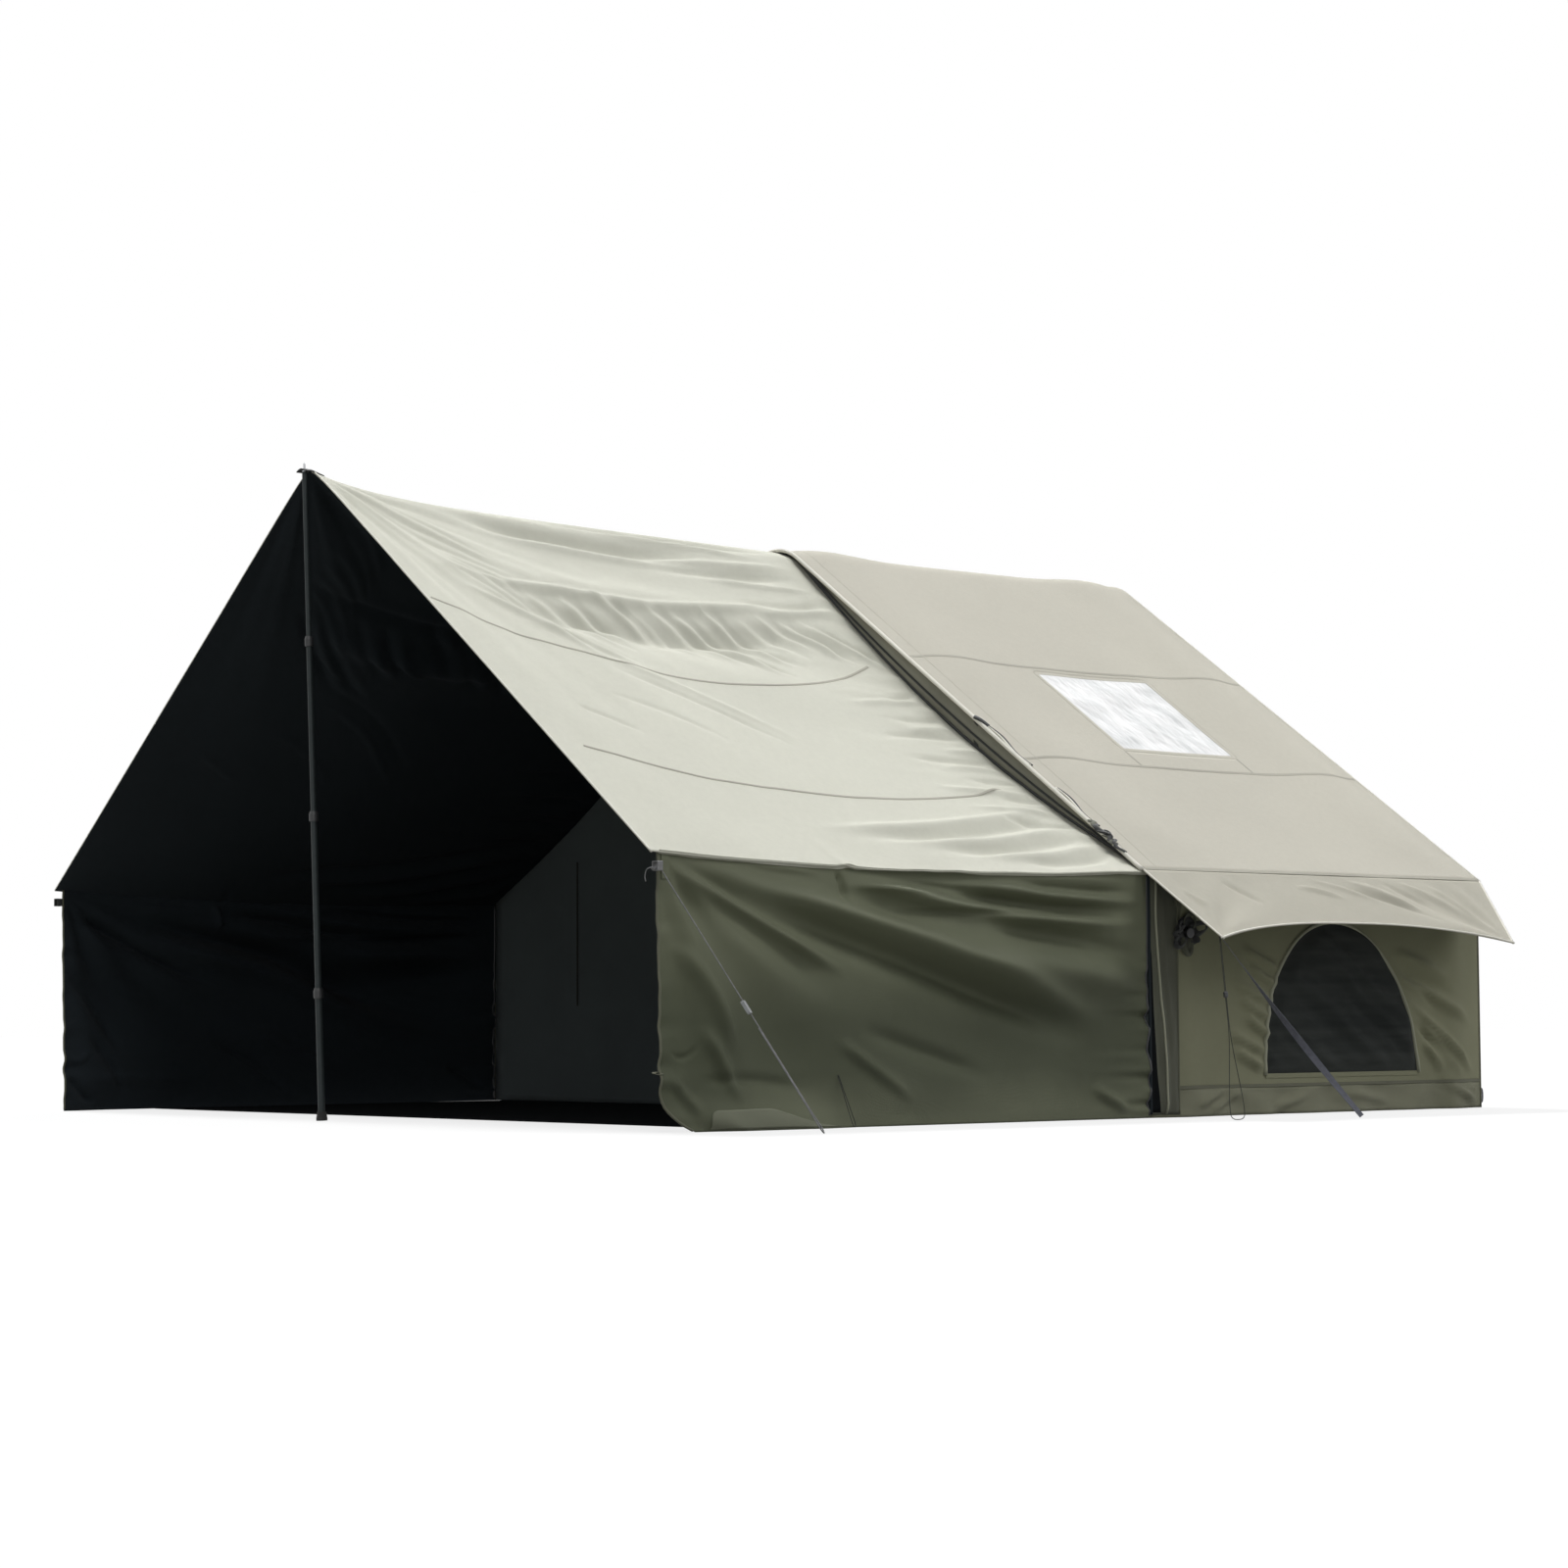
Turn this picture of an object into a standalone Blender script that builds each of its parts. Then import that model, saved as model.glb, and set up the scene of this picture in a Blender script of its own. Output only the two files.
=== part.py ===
"""An inflatable tent: a house-shaped cabin on air beams, with an open-fronted awning on a telescopic pole.

Metres, +Z up. The awning opens towards -Y, the window that faces the viewer is on +X, and the
origin lies on the ground under the middle of the tent.
"""

import math

import bmesh
import bpy
from mathutils import Matrix, Vector

for old in list(bpy.data.objects):
    bpy.data.objects.remove(old, do_unlink=True)

# Cabin
cabin_width = 4.36
cabin_depth = 2.00
eave_height = 0.95
ridge_height = 2.42
ridge_radius = 0.25
roof_overhang = 0.04
cloth = 0.004
flatness = 0.00001
gap = 0.0003
wall_inset = 0.012
skirt_height = 0.11
upper_seam = 0.84
lower_seam = 1.51

# Skylight, measured across the ground from the ridge and back from the cabin's front
skylight_top = 0.88
skylight_bottom = 1.40
skylight_width = 0.68
skylight_middle = 1.01

# Side window with its arch
window_middle = 0.5625 * cabin_depth
window_width = 0.465 * cabin_depth
window_sill = 0.155
window_rise = 0.63
cover_margin = 0.02
cover_hinge_height = 0.135
cover_clearance = 0.003
window_block_margin = 0.03
wall_rows = 6
wall_crease_depth = 0.007

# Eave flap, measured across the ground from the eave
flap_corner_reach = 0.39
flap_middle_reach = 0.29
flap_front_set = 0.025
flap_back_set = 0.28
flap_fold_depth = 0.010

# Air beams
beam_radius = 0.10
beam_wall = 0.004
beam_set_in = 0.185
beam_bend_radius = 0.22
beam_sides = 12
leg_bulge = 0.025
leg_bulge_width = 0.10
valve_height = 0.71
valve_stem_radius = 0.013
valve_hole_radius = 0.016
valve_flange_radius = 0.034
valve_flange_thickness = 0.0025
valve_neck_radius = 0.019
valve_neck_length = 0.018
valve_cap_rim = 0.002
valve_cap_thickness = 0.006

# Door in the cabin's front
door_width = 0.90
door_sill = 0.12
door_height = 1.66
door_corner_radius = 0.18
door_clearance = 0.002
zip_tape_offset = 0.004
zip_tape_width = 0.034
zip_tape_thickness = 0.0015
zip_slider_height = 1.05
zip_slider_width = 0.020
zip_slider_length = 0.028
zip_slider_thickness = 0.006
zip_pull_width = 0.011
zip_pull_length = 0.045

# Awning
awning_depth = 2.35
awning_front_width = 4.24
apex_height = 2.53
front_corner_height = 0.957
apex_lead = 0.060
corner_lead = 0.025
wall_front_set = 0.003
wall_flare = 0.02
tuck_gap = 0.006
wedge_depth = 0.13
eave_dip = 0.030
awning_rounding = 0.03
roof_fold_depth = 0.016
crest_height = 0.018
crest_line = 0.50
pocket_depth = 0.040
pocket_line = 0.74
wall_fold_depth = 0.022
zip_flap_width = 0.14
zip_flap_lift = 0.02
tie_line = 1.235
tie_thickness = 0.002
tie_clearance = 0.004

# Telescopic pole
pole_radii = (0.0140, 0.0127, 0.0114, 0.0101)
pole_tops = (0.50, 1.186, 1.868)
pole_wall = 0.0009
pole_overlap = 0.10
pole_foot_radius = 0.022
pole_foot_height = 0.035
pole_foot_floor = 0.006
pole_foot_sole = 0.010
pole_foot_wall = 0.003
collar_length = 0.040
collar_wall = 0.0045
collar_lip = 0.001
collar_bevel = 0.006
collar_clearance = 0.0006
spike_radius = 0.0045
spike_length = 0.034
shoulder_length = 0.025
shoulder_rim = 0.004
pole_foot_set_in = 0.010
tab_lead = 0.024
tab_hole_clearance = 0.0007
tab_margin = 0.014
tab_clearance = 0.0008

# Ropes, straps and their fittings
rope_radius = 0.0022
cord_radius = 0.0016
strap_width = 0.025
strap_thickness = 0.0016
strap_turns = 0.375
strap_sag = 0.012
buckle_size = 0.034
buckle_bar = 0.005
buckle_thickness = 0.003
loop_size = 0.036
loop_bar = 0.006
loop_width = 0.022
loop_drop = 0.055
loop_set_back = 0.012
loop_standoff = 0.0035
rope_spacing = 0.012
rope_reach = (0.470, 0.310)
rope_tail = 0.41
tensioner_at = 0.52
tensioner_length = 0.050
tensioner_width = 0.026
tensioner_thickness = 0.011
bore_clearance = 0.0005
cord_spacing = 0.0056
corner_cord_reach = 0.080
cord_lock_at = 0.32
cord_lock_radius = 0.009
cord_lock_length = 0.023
hem_cord_height = 0.2
hem_cord_reach = (0.055, 0.030)
strap_reach = (0.360, 0.350)
ground_clearance = 0.002
ground_sheet_thickness = 0.003
ground_sheet_margin = 0.05

# Each doubled cord on its way down: share of the way, and half the space between its two strands
rope_strand = [(0.0, rope_spacing / 2), (0.20, rope_spacing / 2), (0.40, rope_spacing / 2),
               (0.60, rope_spacing / 2), (0.85, rope_spacing / 2), (0.92, 0.0075), (0.95, 0.0115),
               (0.97, 0.0120), (0.985, 0.0105), (0.994, 0.0075), (1.0, 0.0)]
corner_strand = [(0.0, cord_spacing / 2), (0.15, cord_spacing / 2), (0.30, cord_spacing / 2),
                 (0.50, cord_spacing / 2), (0.62, 0.010), (0.75, 0.023), (0.88, 0.036),
                 (0.96, 0.039), (0.985, 0.034), (0.997, 0.021), (1.0, 0.0)]
hem_strand = [(0.0, 0.005), (0.25, 0.006), (0.50, 0.010), (0.80, 0.014), (0.90, 0.0145),
              (0.96, 0.013), (0.99, 0.008), (1.0, 0.0)]

# Worked out from the sizes above
half_width = cabin_width / 2
front_y = -(cabin_depth + awning_depth) / 2
cabin_y = front_y + awning_depth
back_y = cabin_y + cabin_depth
wall_x = half_width - wall_inset
wall_inner_x = wall_x - cloth
ridge_rise = ridge_height - eave_height - ridge_radius
roof_angle = math.atan2(ridge_rise, half_width)
roof_angle += math.asin(ridge_radius / math.hypot(half_width, ridge_rise))
ridge_centre_z = ridge_height - ridge_radius
roof_peak_z = ridge_centre_z + ridge_radius / math.cos(roof_angle)
ridge_steps = 4
floor_z = ground_sheet_thickness + gap
beam_front_y = cabin_y + beam_set_in
beam_back_y = back_y - beam_set_in
leg_x = wall_inner_x + leg_bulge - gap - beam_radius
apex_y = front_y - apex_lead
corner_y = front_y - corner_lead
awning_back_y = cabin_y - gap
gable_y = cabin_y + gap
tab_hole_radius = spike_radius + tab_hole_clearance

# Looks: colour, roughness and metallic value
beige = ((0.61, 0.60, 0.53), 0.80, 0.0)
green = ((0.115, 0.120, 0.080), 0.70, 0.0)
olive = ((0.055, 0.065, 0.040), 0.45, 0.0)
black_cloth = ((0.008, 0.009, 0.010), 0.85, 0.0)
pale_film = ((0.86, 0.87, 0.86), 0.25, 0.0)
dark_net = ((0.020, 0.024, 0.022), 0.90, 0.0)
grey_web = ((0.17, 0.18, 0.19), 0.75, 0.0)
rubber = ((0.02, 0.02, 0.02), 0.80, 0.0)
plastic = ((0.03, 0.03, 0.03), 0.45, 0.0)
film = ((0.72, 0.73, 0.72), 0.35, 0.0)
steel = ((0.55, 0.56, 0.57), 0.35, 1.0)
sides = ((1, "right"), (-1, "left"))


def material_of(name, look):
    """A Principled material named after its object."""
    colour, roughness, metallic = look
    material = bpy.data.materials.new(name)
    material.use_nodes = True
    shader = material.node_tree.nodes["Principled BSDF"]
    shader.inputs["Base Color"].default_value = (*colour, 1.0)
    shader.inputs["Roughness"].default_value = roughness
    shader.inputs["Metallic"].default_value = metallic
    material.diffuse_color = (*colour, 1.0)
    return material


def add_mesh(name, vertices, faces, look):
    """One closed mesh object with its faces pointing out."""
    mesh = bpy.data.meshes.new(name)
    mesh.from_pydata([tuple(vertex) for vertex in vertices], [], faces)
    shape = bmesh.new()
    shape.from_mesh(mesh)
    bmesh.ops.recalc_face_normals(shape, faces=shape.faces)
    shape.to_mesh(mesh)
    shape.free()
    mesh.shade_smooth()
    mesh.set_sharp_from_angle(angle=math.radians(40))
    mesh.materials.append(material_of(name, look))
    obj = bpy.data.objects.new(name, mesh)
    bpy.context.scene.collection.objects.link(obj)
    return obj


def spread(start, end, steps):
    """Evenly spaced values, both ends included."""
    return [start + (end - start) * step / steps for step in range(steps + 1)]


def hump(value, centre, width):
    return math.exp(-(((value - centre) / width) ** 2))


def ease(value):
    """0 to 1 with level ends."""
    value = min(max(value, 0.0), 1.0)
    return value * value * (3 - 2 * value)


def flat_halves(face, points):
    """The face, or two triangles where its four corners aren't in one plane."""
    if len(face) != 4:
        return [face]
    a, b, c, d = (points[index] for index in face)
    if abs((b - a).cross(c - a).normalized().dot(d - a)) < flatness:
        return [face]
    return [[face[0], face[1], face[2]], [face[0], face[2], face[3]]]


def panel(name, flat_faces, place, look, thickness=cloth):
    """A cloth panel of two layers. Its faces are drawn flat, and place(a, b, depth) sets them in space."""
    places = {}
    corners = []

    def corner(point):
        key = (round(point[0], 6), round(point[1], 6))
        if key not in places:
            places[key] = len(corners)
            corners.append(point)
        return places[key]

    drawn = [[corner(point) for point in face] for face in flat_faces]
    outer = [place(a, b, 0.0) for a, b in corners]
    drawn = [half for face in drawn for half in flat_halves(face, outer)]
    used = {}
    for face in drawn:
        for start, end in zip(face, face[1:] + face[:1]):
            used.setdefault(frozenset((start, end)), []).append((start, end))
    count = len(corners)
    faces = [tuple(face) for face in drawn]
    faces += [tuple(index + count for index in reversed(face)) for face in drawn]
    for ends in used.values():
        if len(ends) == 1:
            start, end = ends[0]
            faces.append((end, start, start + count, end + count))
    vertices = outer + [place(a, b, thickness) for a, b in corners]
    return add_mesh(name, vertices, faces, look)


def grid_faces(a_values, b_values):
    faces = []
    for a0, a1 in zip(a_values, a_values[1:]):
        for b0, b1 in zip(b_values, b_values[1:]):
            faces.append([(a0, b0), (a1, b0), (a1, b1), (a0, b1)])
    return faces


def ray_hit(centre, toward, outline):
    """Where the ray from the centre through a point leaves a closed outline."""
    reach = (toward[0] - centre[0], toward[1] - centre[1])
    far = 0.0
    for (ax, ay), (bx, by) in zip(outline, outline[1:] + outline[:1]):
        edge = (bx - ax, by - ay)
        across = reach[0] * edge[1] - reach[1] * edge[0]
        if abs(across) < 1e-12:
            continue
        from_centre = (ax - centre[0], ay - centre[1])
        along = (from_centre[0] * edge[1] - from_centre[1] * edge[0]) / across
        share = (from_centre[0] * reach[1] - from_centre[1] * reach[0]) / across
        if -1e-9 <= share <= 1 + 1e-9:
            far = max(far, along)
    return (centre[0] + reach[0] * far, centre[1] + reach[1] * far)


def by_angle(centre, points):
    """Points in order round the centre, with each direction once."""
    found = {}
    for x, y in points:
        found.setdefault(round(math.atan2(y - centre[1], x - centre[0]), 6), (x, y))
    return [found[angle] for angle in sorted(found)]


def ring_faces(outer, centre, hole, rings):
    """Quads from a hole's outline out to the outer points that lie in the same directions."""
    inner = [ray_hit(centre, point, hole) for point in outer]
    loops = []
    for ring in range(rings + 1):
        share = ring / rings
        loop = []
        for (x0, y0), (x1, y1) in zip(inner, outer):
            loop.append((x0 + (x1 - x0) * share, y0 + (y1 - y0) * share))
        loops.append(loop)
    faces = []
    for loop, wider in zip(loops, loops[1:]):
        for k in range(len(outer)):
            after = (k + 1) % len(outer)
            faces.append([loop[k], loop[after], wider[after], wider[k]])
    return faces


def disc_faces(outer, centre, rings):
    """A filled outline: a fan at the centre with quads round it."""
    loops = []
    for ring in range(1, rings + 1):
        share = ring / rings
        loop = []
        for x, y in outer:
            loop.append((centre[0] + (x - centre[0]) * share, centre[1] + (y - centre[1]) * share))
        loops.append(loop)
    faces = []
    for k in range(len(outer)):
        after = (k + 1) % len(outer)
        faces.append([centre, loops[0][k], loops[0][after]])
        for loop, wider in zip(loops, loops[1:]):
            faces.append([loop[k], loop[after], wider[after], wider[k]])
    return faces


def shrunk(points, centre, by):
    """Each point moved this far towards the centre."""
    moved = []
    for x, y in points:
        share = 1 - by / math.hypot(x - centre[0], y - centre[1])
        moved.append((centre[0] + (x - centre[0]) * share, centre[1] + (y - centre[1]) * share))
    return moved


def rectangle(a0, a1, b0, b1):
    return [(a0, b0), (a1, b0), (a1, b1), (a0, b1)]


def fan_fold(across, down, folds, reach):
    """Folds that run out from a corner as rays: across and down are distances from that corner."""
    far = math.hypot(across, down)
    angle = math.atan2(down, across)
    return math.sin(2 * folds * angle) * ease(far / 0.25) * math.exp(-far / reach)


def edge_fade(*distances, width=0.10):
    """0 at a seam, rising to 1 at this distance from it."""
    return ease(min(distances) / width)


def revolve(name, profile, look, segments=16, matrix=None):
    """A solid turned about +Z from (radius, height) points up its outer side and back to the first."""
    vertices = []
    rows = []
    for radius, height in profile:
        if radius == 0.0:
            rows.append([len(vertices)] * segments)
            vertices.append(Vector((0.0, 0.0, height)))
            continue
        rows.append([len(vertices) + k for k in range(segments)])
        for k in range(segments):
            turn = 2 * math.pi * k / segments
            vertices.append(Vector((radius * math.cos(turn), radius * math.sin(turn), height)))
    if profile[0][0] > 0.0:
        rows.append(rows[0])
    faces = []
    for row, above in zip(rows, rows[1:]):
        for k in range(segments):
            after = (k + 1) % segments
            face = [row[k], row[after], above[after], above[k]]
            faces.append(tuple(dict.fromkeys(face)))
    obj = add_mesh(name, vertices, [face for face in faces if len(face) > 2], look)
    if matrix is not None:
        obj.matrix_world = matrix
    return obj


def block(name, low, high, look):
    """A box between two corners."""
    low, high = Vector(low), Vector(high)
    vertices = [(x, y, z) for x in (low.x, high.x) for y in (low.y, high.y) for z in (low.z, high.z)]
    faces = [(0, 1, 3, 2), (4, 6, 7, 5), (0, 4, 5, 1), (2, 3, 7, 6), (0, 2, 6, 4), (1, 5, 7, 3)]
    return add_mesh(name, vertices, faces, look)


def cutter(obj):
    obj.hide_render = True
    obj.display_type = "WIRE"
    return obj


def cut(obj, tool):
    step = obj.modifiers.new("cut_" + tool.name, "BOOLEAN")
    step.operation = "DIFFERENCE"
    step.solver = "EXACT"
    step.object = tool


def smooth_route(points, steps=4):
    """Points on a smooth curve through a route's own points."""
    route = [Vector(point) for point in points]
    ends = [route[0] * 2 - route[1]] + route + [route[-1] * 2 - route[-2]]
    found = []
    for before, start, end, after in zip(ends, ends[1:], ends[2:], ends[3:]):
        for step in range(steps):
            t = step / steps
            found.append(
                0.5 * (2 * start + (end - before) * t + (2 * before - 5 * start + 4 * end - after) * t * t
                       + (3 * start - before - 3 * end + after) * t * t * t)
            )
    return found + [route[-1]]


def cord_tube(name, points, radius, look):
    """A round cord as a beveled curve with filled caps."""
    curve = bpy.data.curves.new(name, "CURVE")
    curve.dimensions = "3D"
    curve.bevel_depth = radius
    curve.bevel_resolution = 2
    curve.use_fill_caps = True
    spline = curve.splines.new("POLY")
    spline.points.add(len(points) - 1)
    for place, point in zip(spline.points, points):
        place.co = (*point, 1.0)
    curve.materials.append(material_of(name, look))
    obj = bpy.data.objects.new(name, curve)
    bpy.context.scene.collection.objects.link(obj)
    return obj


def roof_height(x):
    """Outer face of the cabin roof at this distance from the ridge, carried on past the eave."""
    x = abs(x)
    if x < ridge_radius * math.sin(roof_angle):
        return ridge_centre_z + math.sqrt(ridge_radius**2 - x * x)
    return roof_peak_z - x * math.tan(roof_angle)


def wall_bulge(y, z):
    """How far a cabin side wall is pushed out over its two beam legs, down to nothing at the eave."""
    out = hump(y, beam_front_y, leg_bulge_width) + hump(y, beam_back_y, leg_bulge_width)
    last_row = (wall_top_z - skirt_height) / wall_rows
    return leg_bulge * out * min(max((wall_top_z - z) / last_row, 0.0), 1.0)


def wall_folds(y, z):
    """Drawn folds round the window, from the lower corner at the back and the upper one at the front."""
    front = beam_front_y + beam_radius * 1.6
    back = beam_back_y - beam_radius * 1.2
    fade = edge_fade(y - front, back - y, z - skirt_height, wall_top_z - z, width=0.12)
    low = fan_fold(back_y - y, z - skirt_height, 7, 0.55)
    high = fan_fold(y - front, wall_top_z - z, 6, 0.45)
    return wall_crease_depth * fade * (low + high)


def place_on_wall(side, y, z, depth):
    """A point of a cabin side wall; depth runs inwards from its outer face."""
    return Vector((side * (wall_x + wall_bulge(y, z) + wall_folds(y, z) - depth), y, z))


def front_leg_columns():
    """Where the wall bends over its front leg; one of the bends lies under the zip flap's edge."""
    bends = [beam_front_y + leg_bulge_width * share for share in (-1.2, 0.0, 0.6, 1.2)]
    return sorted(bends + [cabin_y + zip_flap_width])


def awning_half_width(along):
    return awning_front_width / 2 + (half_width - gap - awning_front_width / 2) * along


def awning_front_y(across):
    return apex_y + (corner_y - apex_y) * across


def awning_y(across, along):
    return awning_front_y(across) + (awning_back_y - awning_front_y(across)) * along


def awning_top(across, along):
    """Outer face of the awning roof, from ridge to eave and from front to cabin, both 0 to 1."""
    half = awning_half_width(along)
    x = across * half
    fall = math.hypot(x, awning_rounding) - awning_rounding
    fall /= math.hypot(half, awning_rounding) - awning_rounding
    front = apex_height - (apex_height - front_corner_height) * fall
    tucked = roof_height(across * (half_width - gap)) - cloth - tuck_gap
    tucked -= wedge_depth * math.sin(math.pi * across)
    behind = along * awning_depth
    near_ridge = hump(across, 0.0, 0.25)
    ridge_share = 0.35 * (1 - along) + 0.65 * math.exp(-behind / 0.25)
    share = near_ridge * ridge_share + (1 - near_ridge) * (1 - along)
    dip = eave_dip * across * across * math.sin(math.pi * along)
    return tucked + (front - tucked) * share - dip + awning_folds(x, half, behind)


def awning_folds(x, half, behind):
    """Folds that run from the apex, and the slack pocket beside the ridge."""
    fade = edge_fade(x, half - x, awning_depth - behind, behind + 0.03)
    fan = roof_fold_depth * fan_fold(x, behind + 0.01, 7, 1.1)
    crest = crest_height * hump(x, crest_line, 0.07) * hump(behind, awning_depth / 2, 0.9)
    pocket = pocket_depth * hump(x, pocket_line, 0.15) * hump(behind, awning_depth * 0.55, 0.75)
    return fade * (fan + crest - pocket)


def place_on_awning_wall(side, back, up, depth):
    """A point of an awning side wall, from front to back and foot to eave, both 0 to 1."""
    top = wall_top(back)
    z = top * up
    start = corner_y + wall_front_set + (front_y - corner_y) * (1 - up)
    y = start + (awning_back_y - start) * back
    flare = wall_flare * (1 - up) * (1 - back)
    fade = edge_fade(y - start, awning_back_y - y, z, top - z, width=0.14)
    folds = wall_fold_depth * fan_fold(y - start, top - z, 6, 1.1) * fade
    return Vector((side * (awning_half_width(back) - wall_inset + flare + folds - depth), y, z))


def tube_rings(path, radius, y):
    """Rings of points round a bent centreline in the XZ plane; each path entry is x, z and outward angle."""
    rings = []
    for x, z, outward in path:
        ring = []
        for k in range(beam_sides):
            turn = 2 * math.pi * k / beam_sides
            reach = radius * math.cos(turn)
            side_way = y + radius * math.sin(turn)
            ring.append(Vector((x + reach * math.cos(outward), side_way, z + reach * math.sin(outward))))
        rings.append(ring)
    return rings


def ring_sides(first, count, rows):
    """Faces between rows of points that were laid down one ring after another."""
    faces = []
    for row in range(rows - 1):
        for k in range(count):
            after = (k + 1) % count
            low = first + row * count
            faces.append((low + k, low + after, low + count + after, low + count + k))
    return faces


def sleeve_and_bladder(name, outer_rings, inner_rings, bladder_rings):
    """The cloth sleeve of an air beam, open at its ends, and the closed bladder inside it."""
    rows = len(outer_rings)
    count = len(outer_rings[0])
    vertices = [point for ring in outer_rings + inner_rings for point in ring]
    faces = ring_sides(0, count, rows) + ring_sides(rows * count, count, rows)
    for row in (0, rows - 1):
        for k in range(count):
            after = (k + 1) % count
            low = row * count
            faces.append((low + k, low + after, rows * count + low + after, rows * count + low + k))
    sleeve = add_mesh(name + "_sleeve", vertices, faces, green)
    vertices = [point for ring in bladder_rings for point in ring]
    faces = ring_sides(0, count, rows)
    faces += [tuple(range(count)), tuple(range((rows - 1) * count, rows * count))]
    bladder = add_mesh(name + "_bladder", vertices, faces, film)
    return sleeve, bladder


def arch_path():
    """Centreline of an arch beam: leg, bend, rafter and ridge bend, and the same down the other side."""
    inset = cloth * math.cos(roof_angle) + gap + beam_radius
    rafter = roof_peak_z * math.cos(roof_angle) - inset
    bend_x = leg_x - beam_bend_radius
    bend_z = (rafter - beam_bend_radius - bend_x * math.sin(roof_angle)) / math.cos(roof_angle)
    rafter_normal = math.pi / 2 - roof_angle
    half = [(leg_x, floor_z, 0.0)]
    for turn in spread(0.0, rafter_normal, 4):
        x = bend_x + beam_bend_radius * math.cos(turn)
        half.append((x, bend_z + beam_bend_radius * math.sin(turn), turn))
    top_radius = ridge_radius - cloth - gap - beam_radius
    for turn in spread(rafter_normal, math.pi / 2, ridge_steps):
        half.append((top_radius * math.cos(turn), ridge_centre_z + top_radius * math.sin(turn), turn))
    return half + [(-x, z, math.pi - turn) for x, z, turn in reversed(half[:-1])]


def ridge_samples():
    """Distances from the ridge at which the rounded top is faceted, in step with the beams under it."""
    return [ridge_radius * math.sin(roof_angle * step / ridge_steps) for step in range(1, ridge_steps + 1)]


def build_cabin_roof():
    low_y = cabin_y - roof_overhang
    high_y = back_y + roof_overhang
    middle_y = cabin_y + skylight_middle
    for side, word in sides:
        def on_roof(x, y, depth, side=side):
            return Vector((side * x, y, roof_height(x) - depth))

        across = [gap / 2] + ridge_samples() + [upper_seam - gap / 2]
        panel("roof_upper_" + word, grid_faces(across, [low_y, high_y]), on_roof, beige)
        outline = rectangle(upper_seam + gap / 2, lower_seam - gap / 2, low_y, high_y)
        near, far = middle_y - skylight_width / 2, middle_y + skylight_width / 2
        hole = rectangle(skylight_top, skylight_bottom, near, far)
        centre = ((skylight_top + skylight_bottom) / 2, middle_y)
        outer = by_angle(centre, outline + [ray_hit(centre, point, outline) for point in hole])
        panel("roof_band_" + word, ring_faces(outer, centre, hole, 1), on_roof, beige)
        pane = rectangle(skylight_top + gap, skylight_bottom - gap, near + gap, far - gap)
        panel("skylight_" + word, [pane], on_roof, pale_film)
        across = [lower_seam + gap / 2, half_width - gap / 2]
        panel("roof_lower_" + word, grid_faces(across, [low_y, high_y]), on_roof, beige)


def build_eave_flaps():
    root_x = half_width + gap / 2
    root_front = cabin_y - roof_overhang
    root_back = back_y + roof_overhang
    tip_front = root_front + flap_front_set
    tip_back = root_back - flap_back_set
    for side, word in sides:
        def on_flap(out, along, depth, side=side):
            bow = abs(2 * along - 1) ** 2.5
            reach = flap_middle_reach + (flap_corner_reach - flap_middle_reach) * bow
            root_y = root_front + (root_back - root_front) * along
            tip_y = tip_front + (tip_back - tip_front) * along
            x = root_x + reach * out
            y = root_y + (tip_y - root_y) * out
            pulled = fan_fold(reach * (1 - out), (1 - along) * cabin_depth, 7, 0.7)
            pulled += fan_fold(reach * (1 - out), along * cabin_depth, 5, 0.5)
            fade = ease(out / 0.35) * edge_fade(along, 1 - along, width=0.06)
            return Vector((side * x, y, roof_height(x) + flap_fold_depth * fade * pulled - depth))

        panel("eave_flap_" + word, grid_faces(spread(0, 1, 5), spread(0, 1, 18)), on_flap, beige)


def window_outline():
    """The arch of a side window, as points of (y, z): a level sill under half an ellipse."""
    middle = cabin_y + window_middle
    points = []
    for turn in spread(0.0, math.pi, 28):
        y = middle + window_width / 2 * math.cos(turn)
        points.append((y, window_sill + window_rise * math.sin(turn)))
    return points


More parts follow.
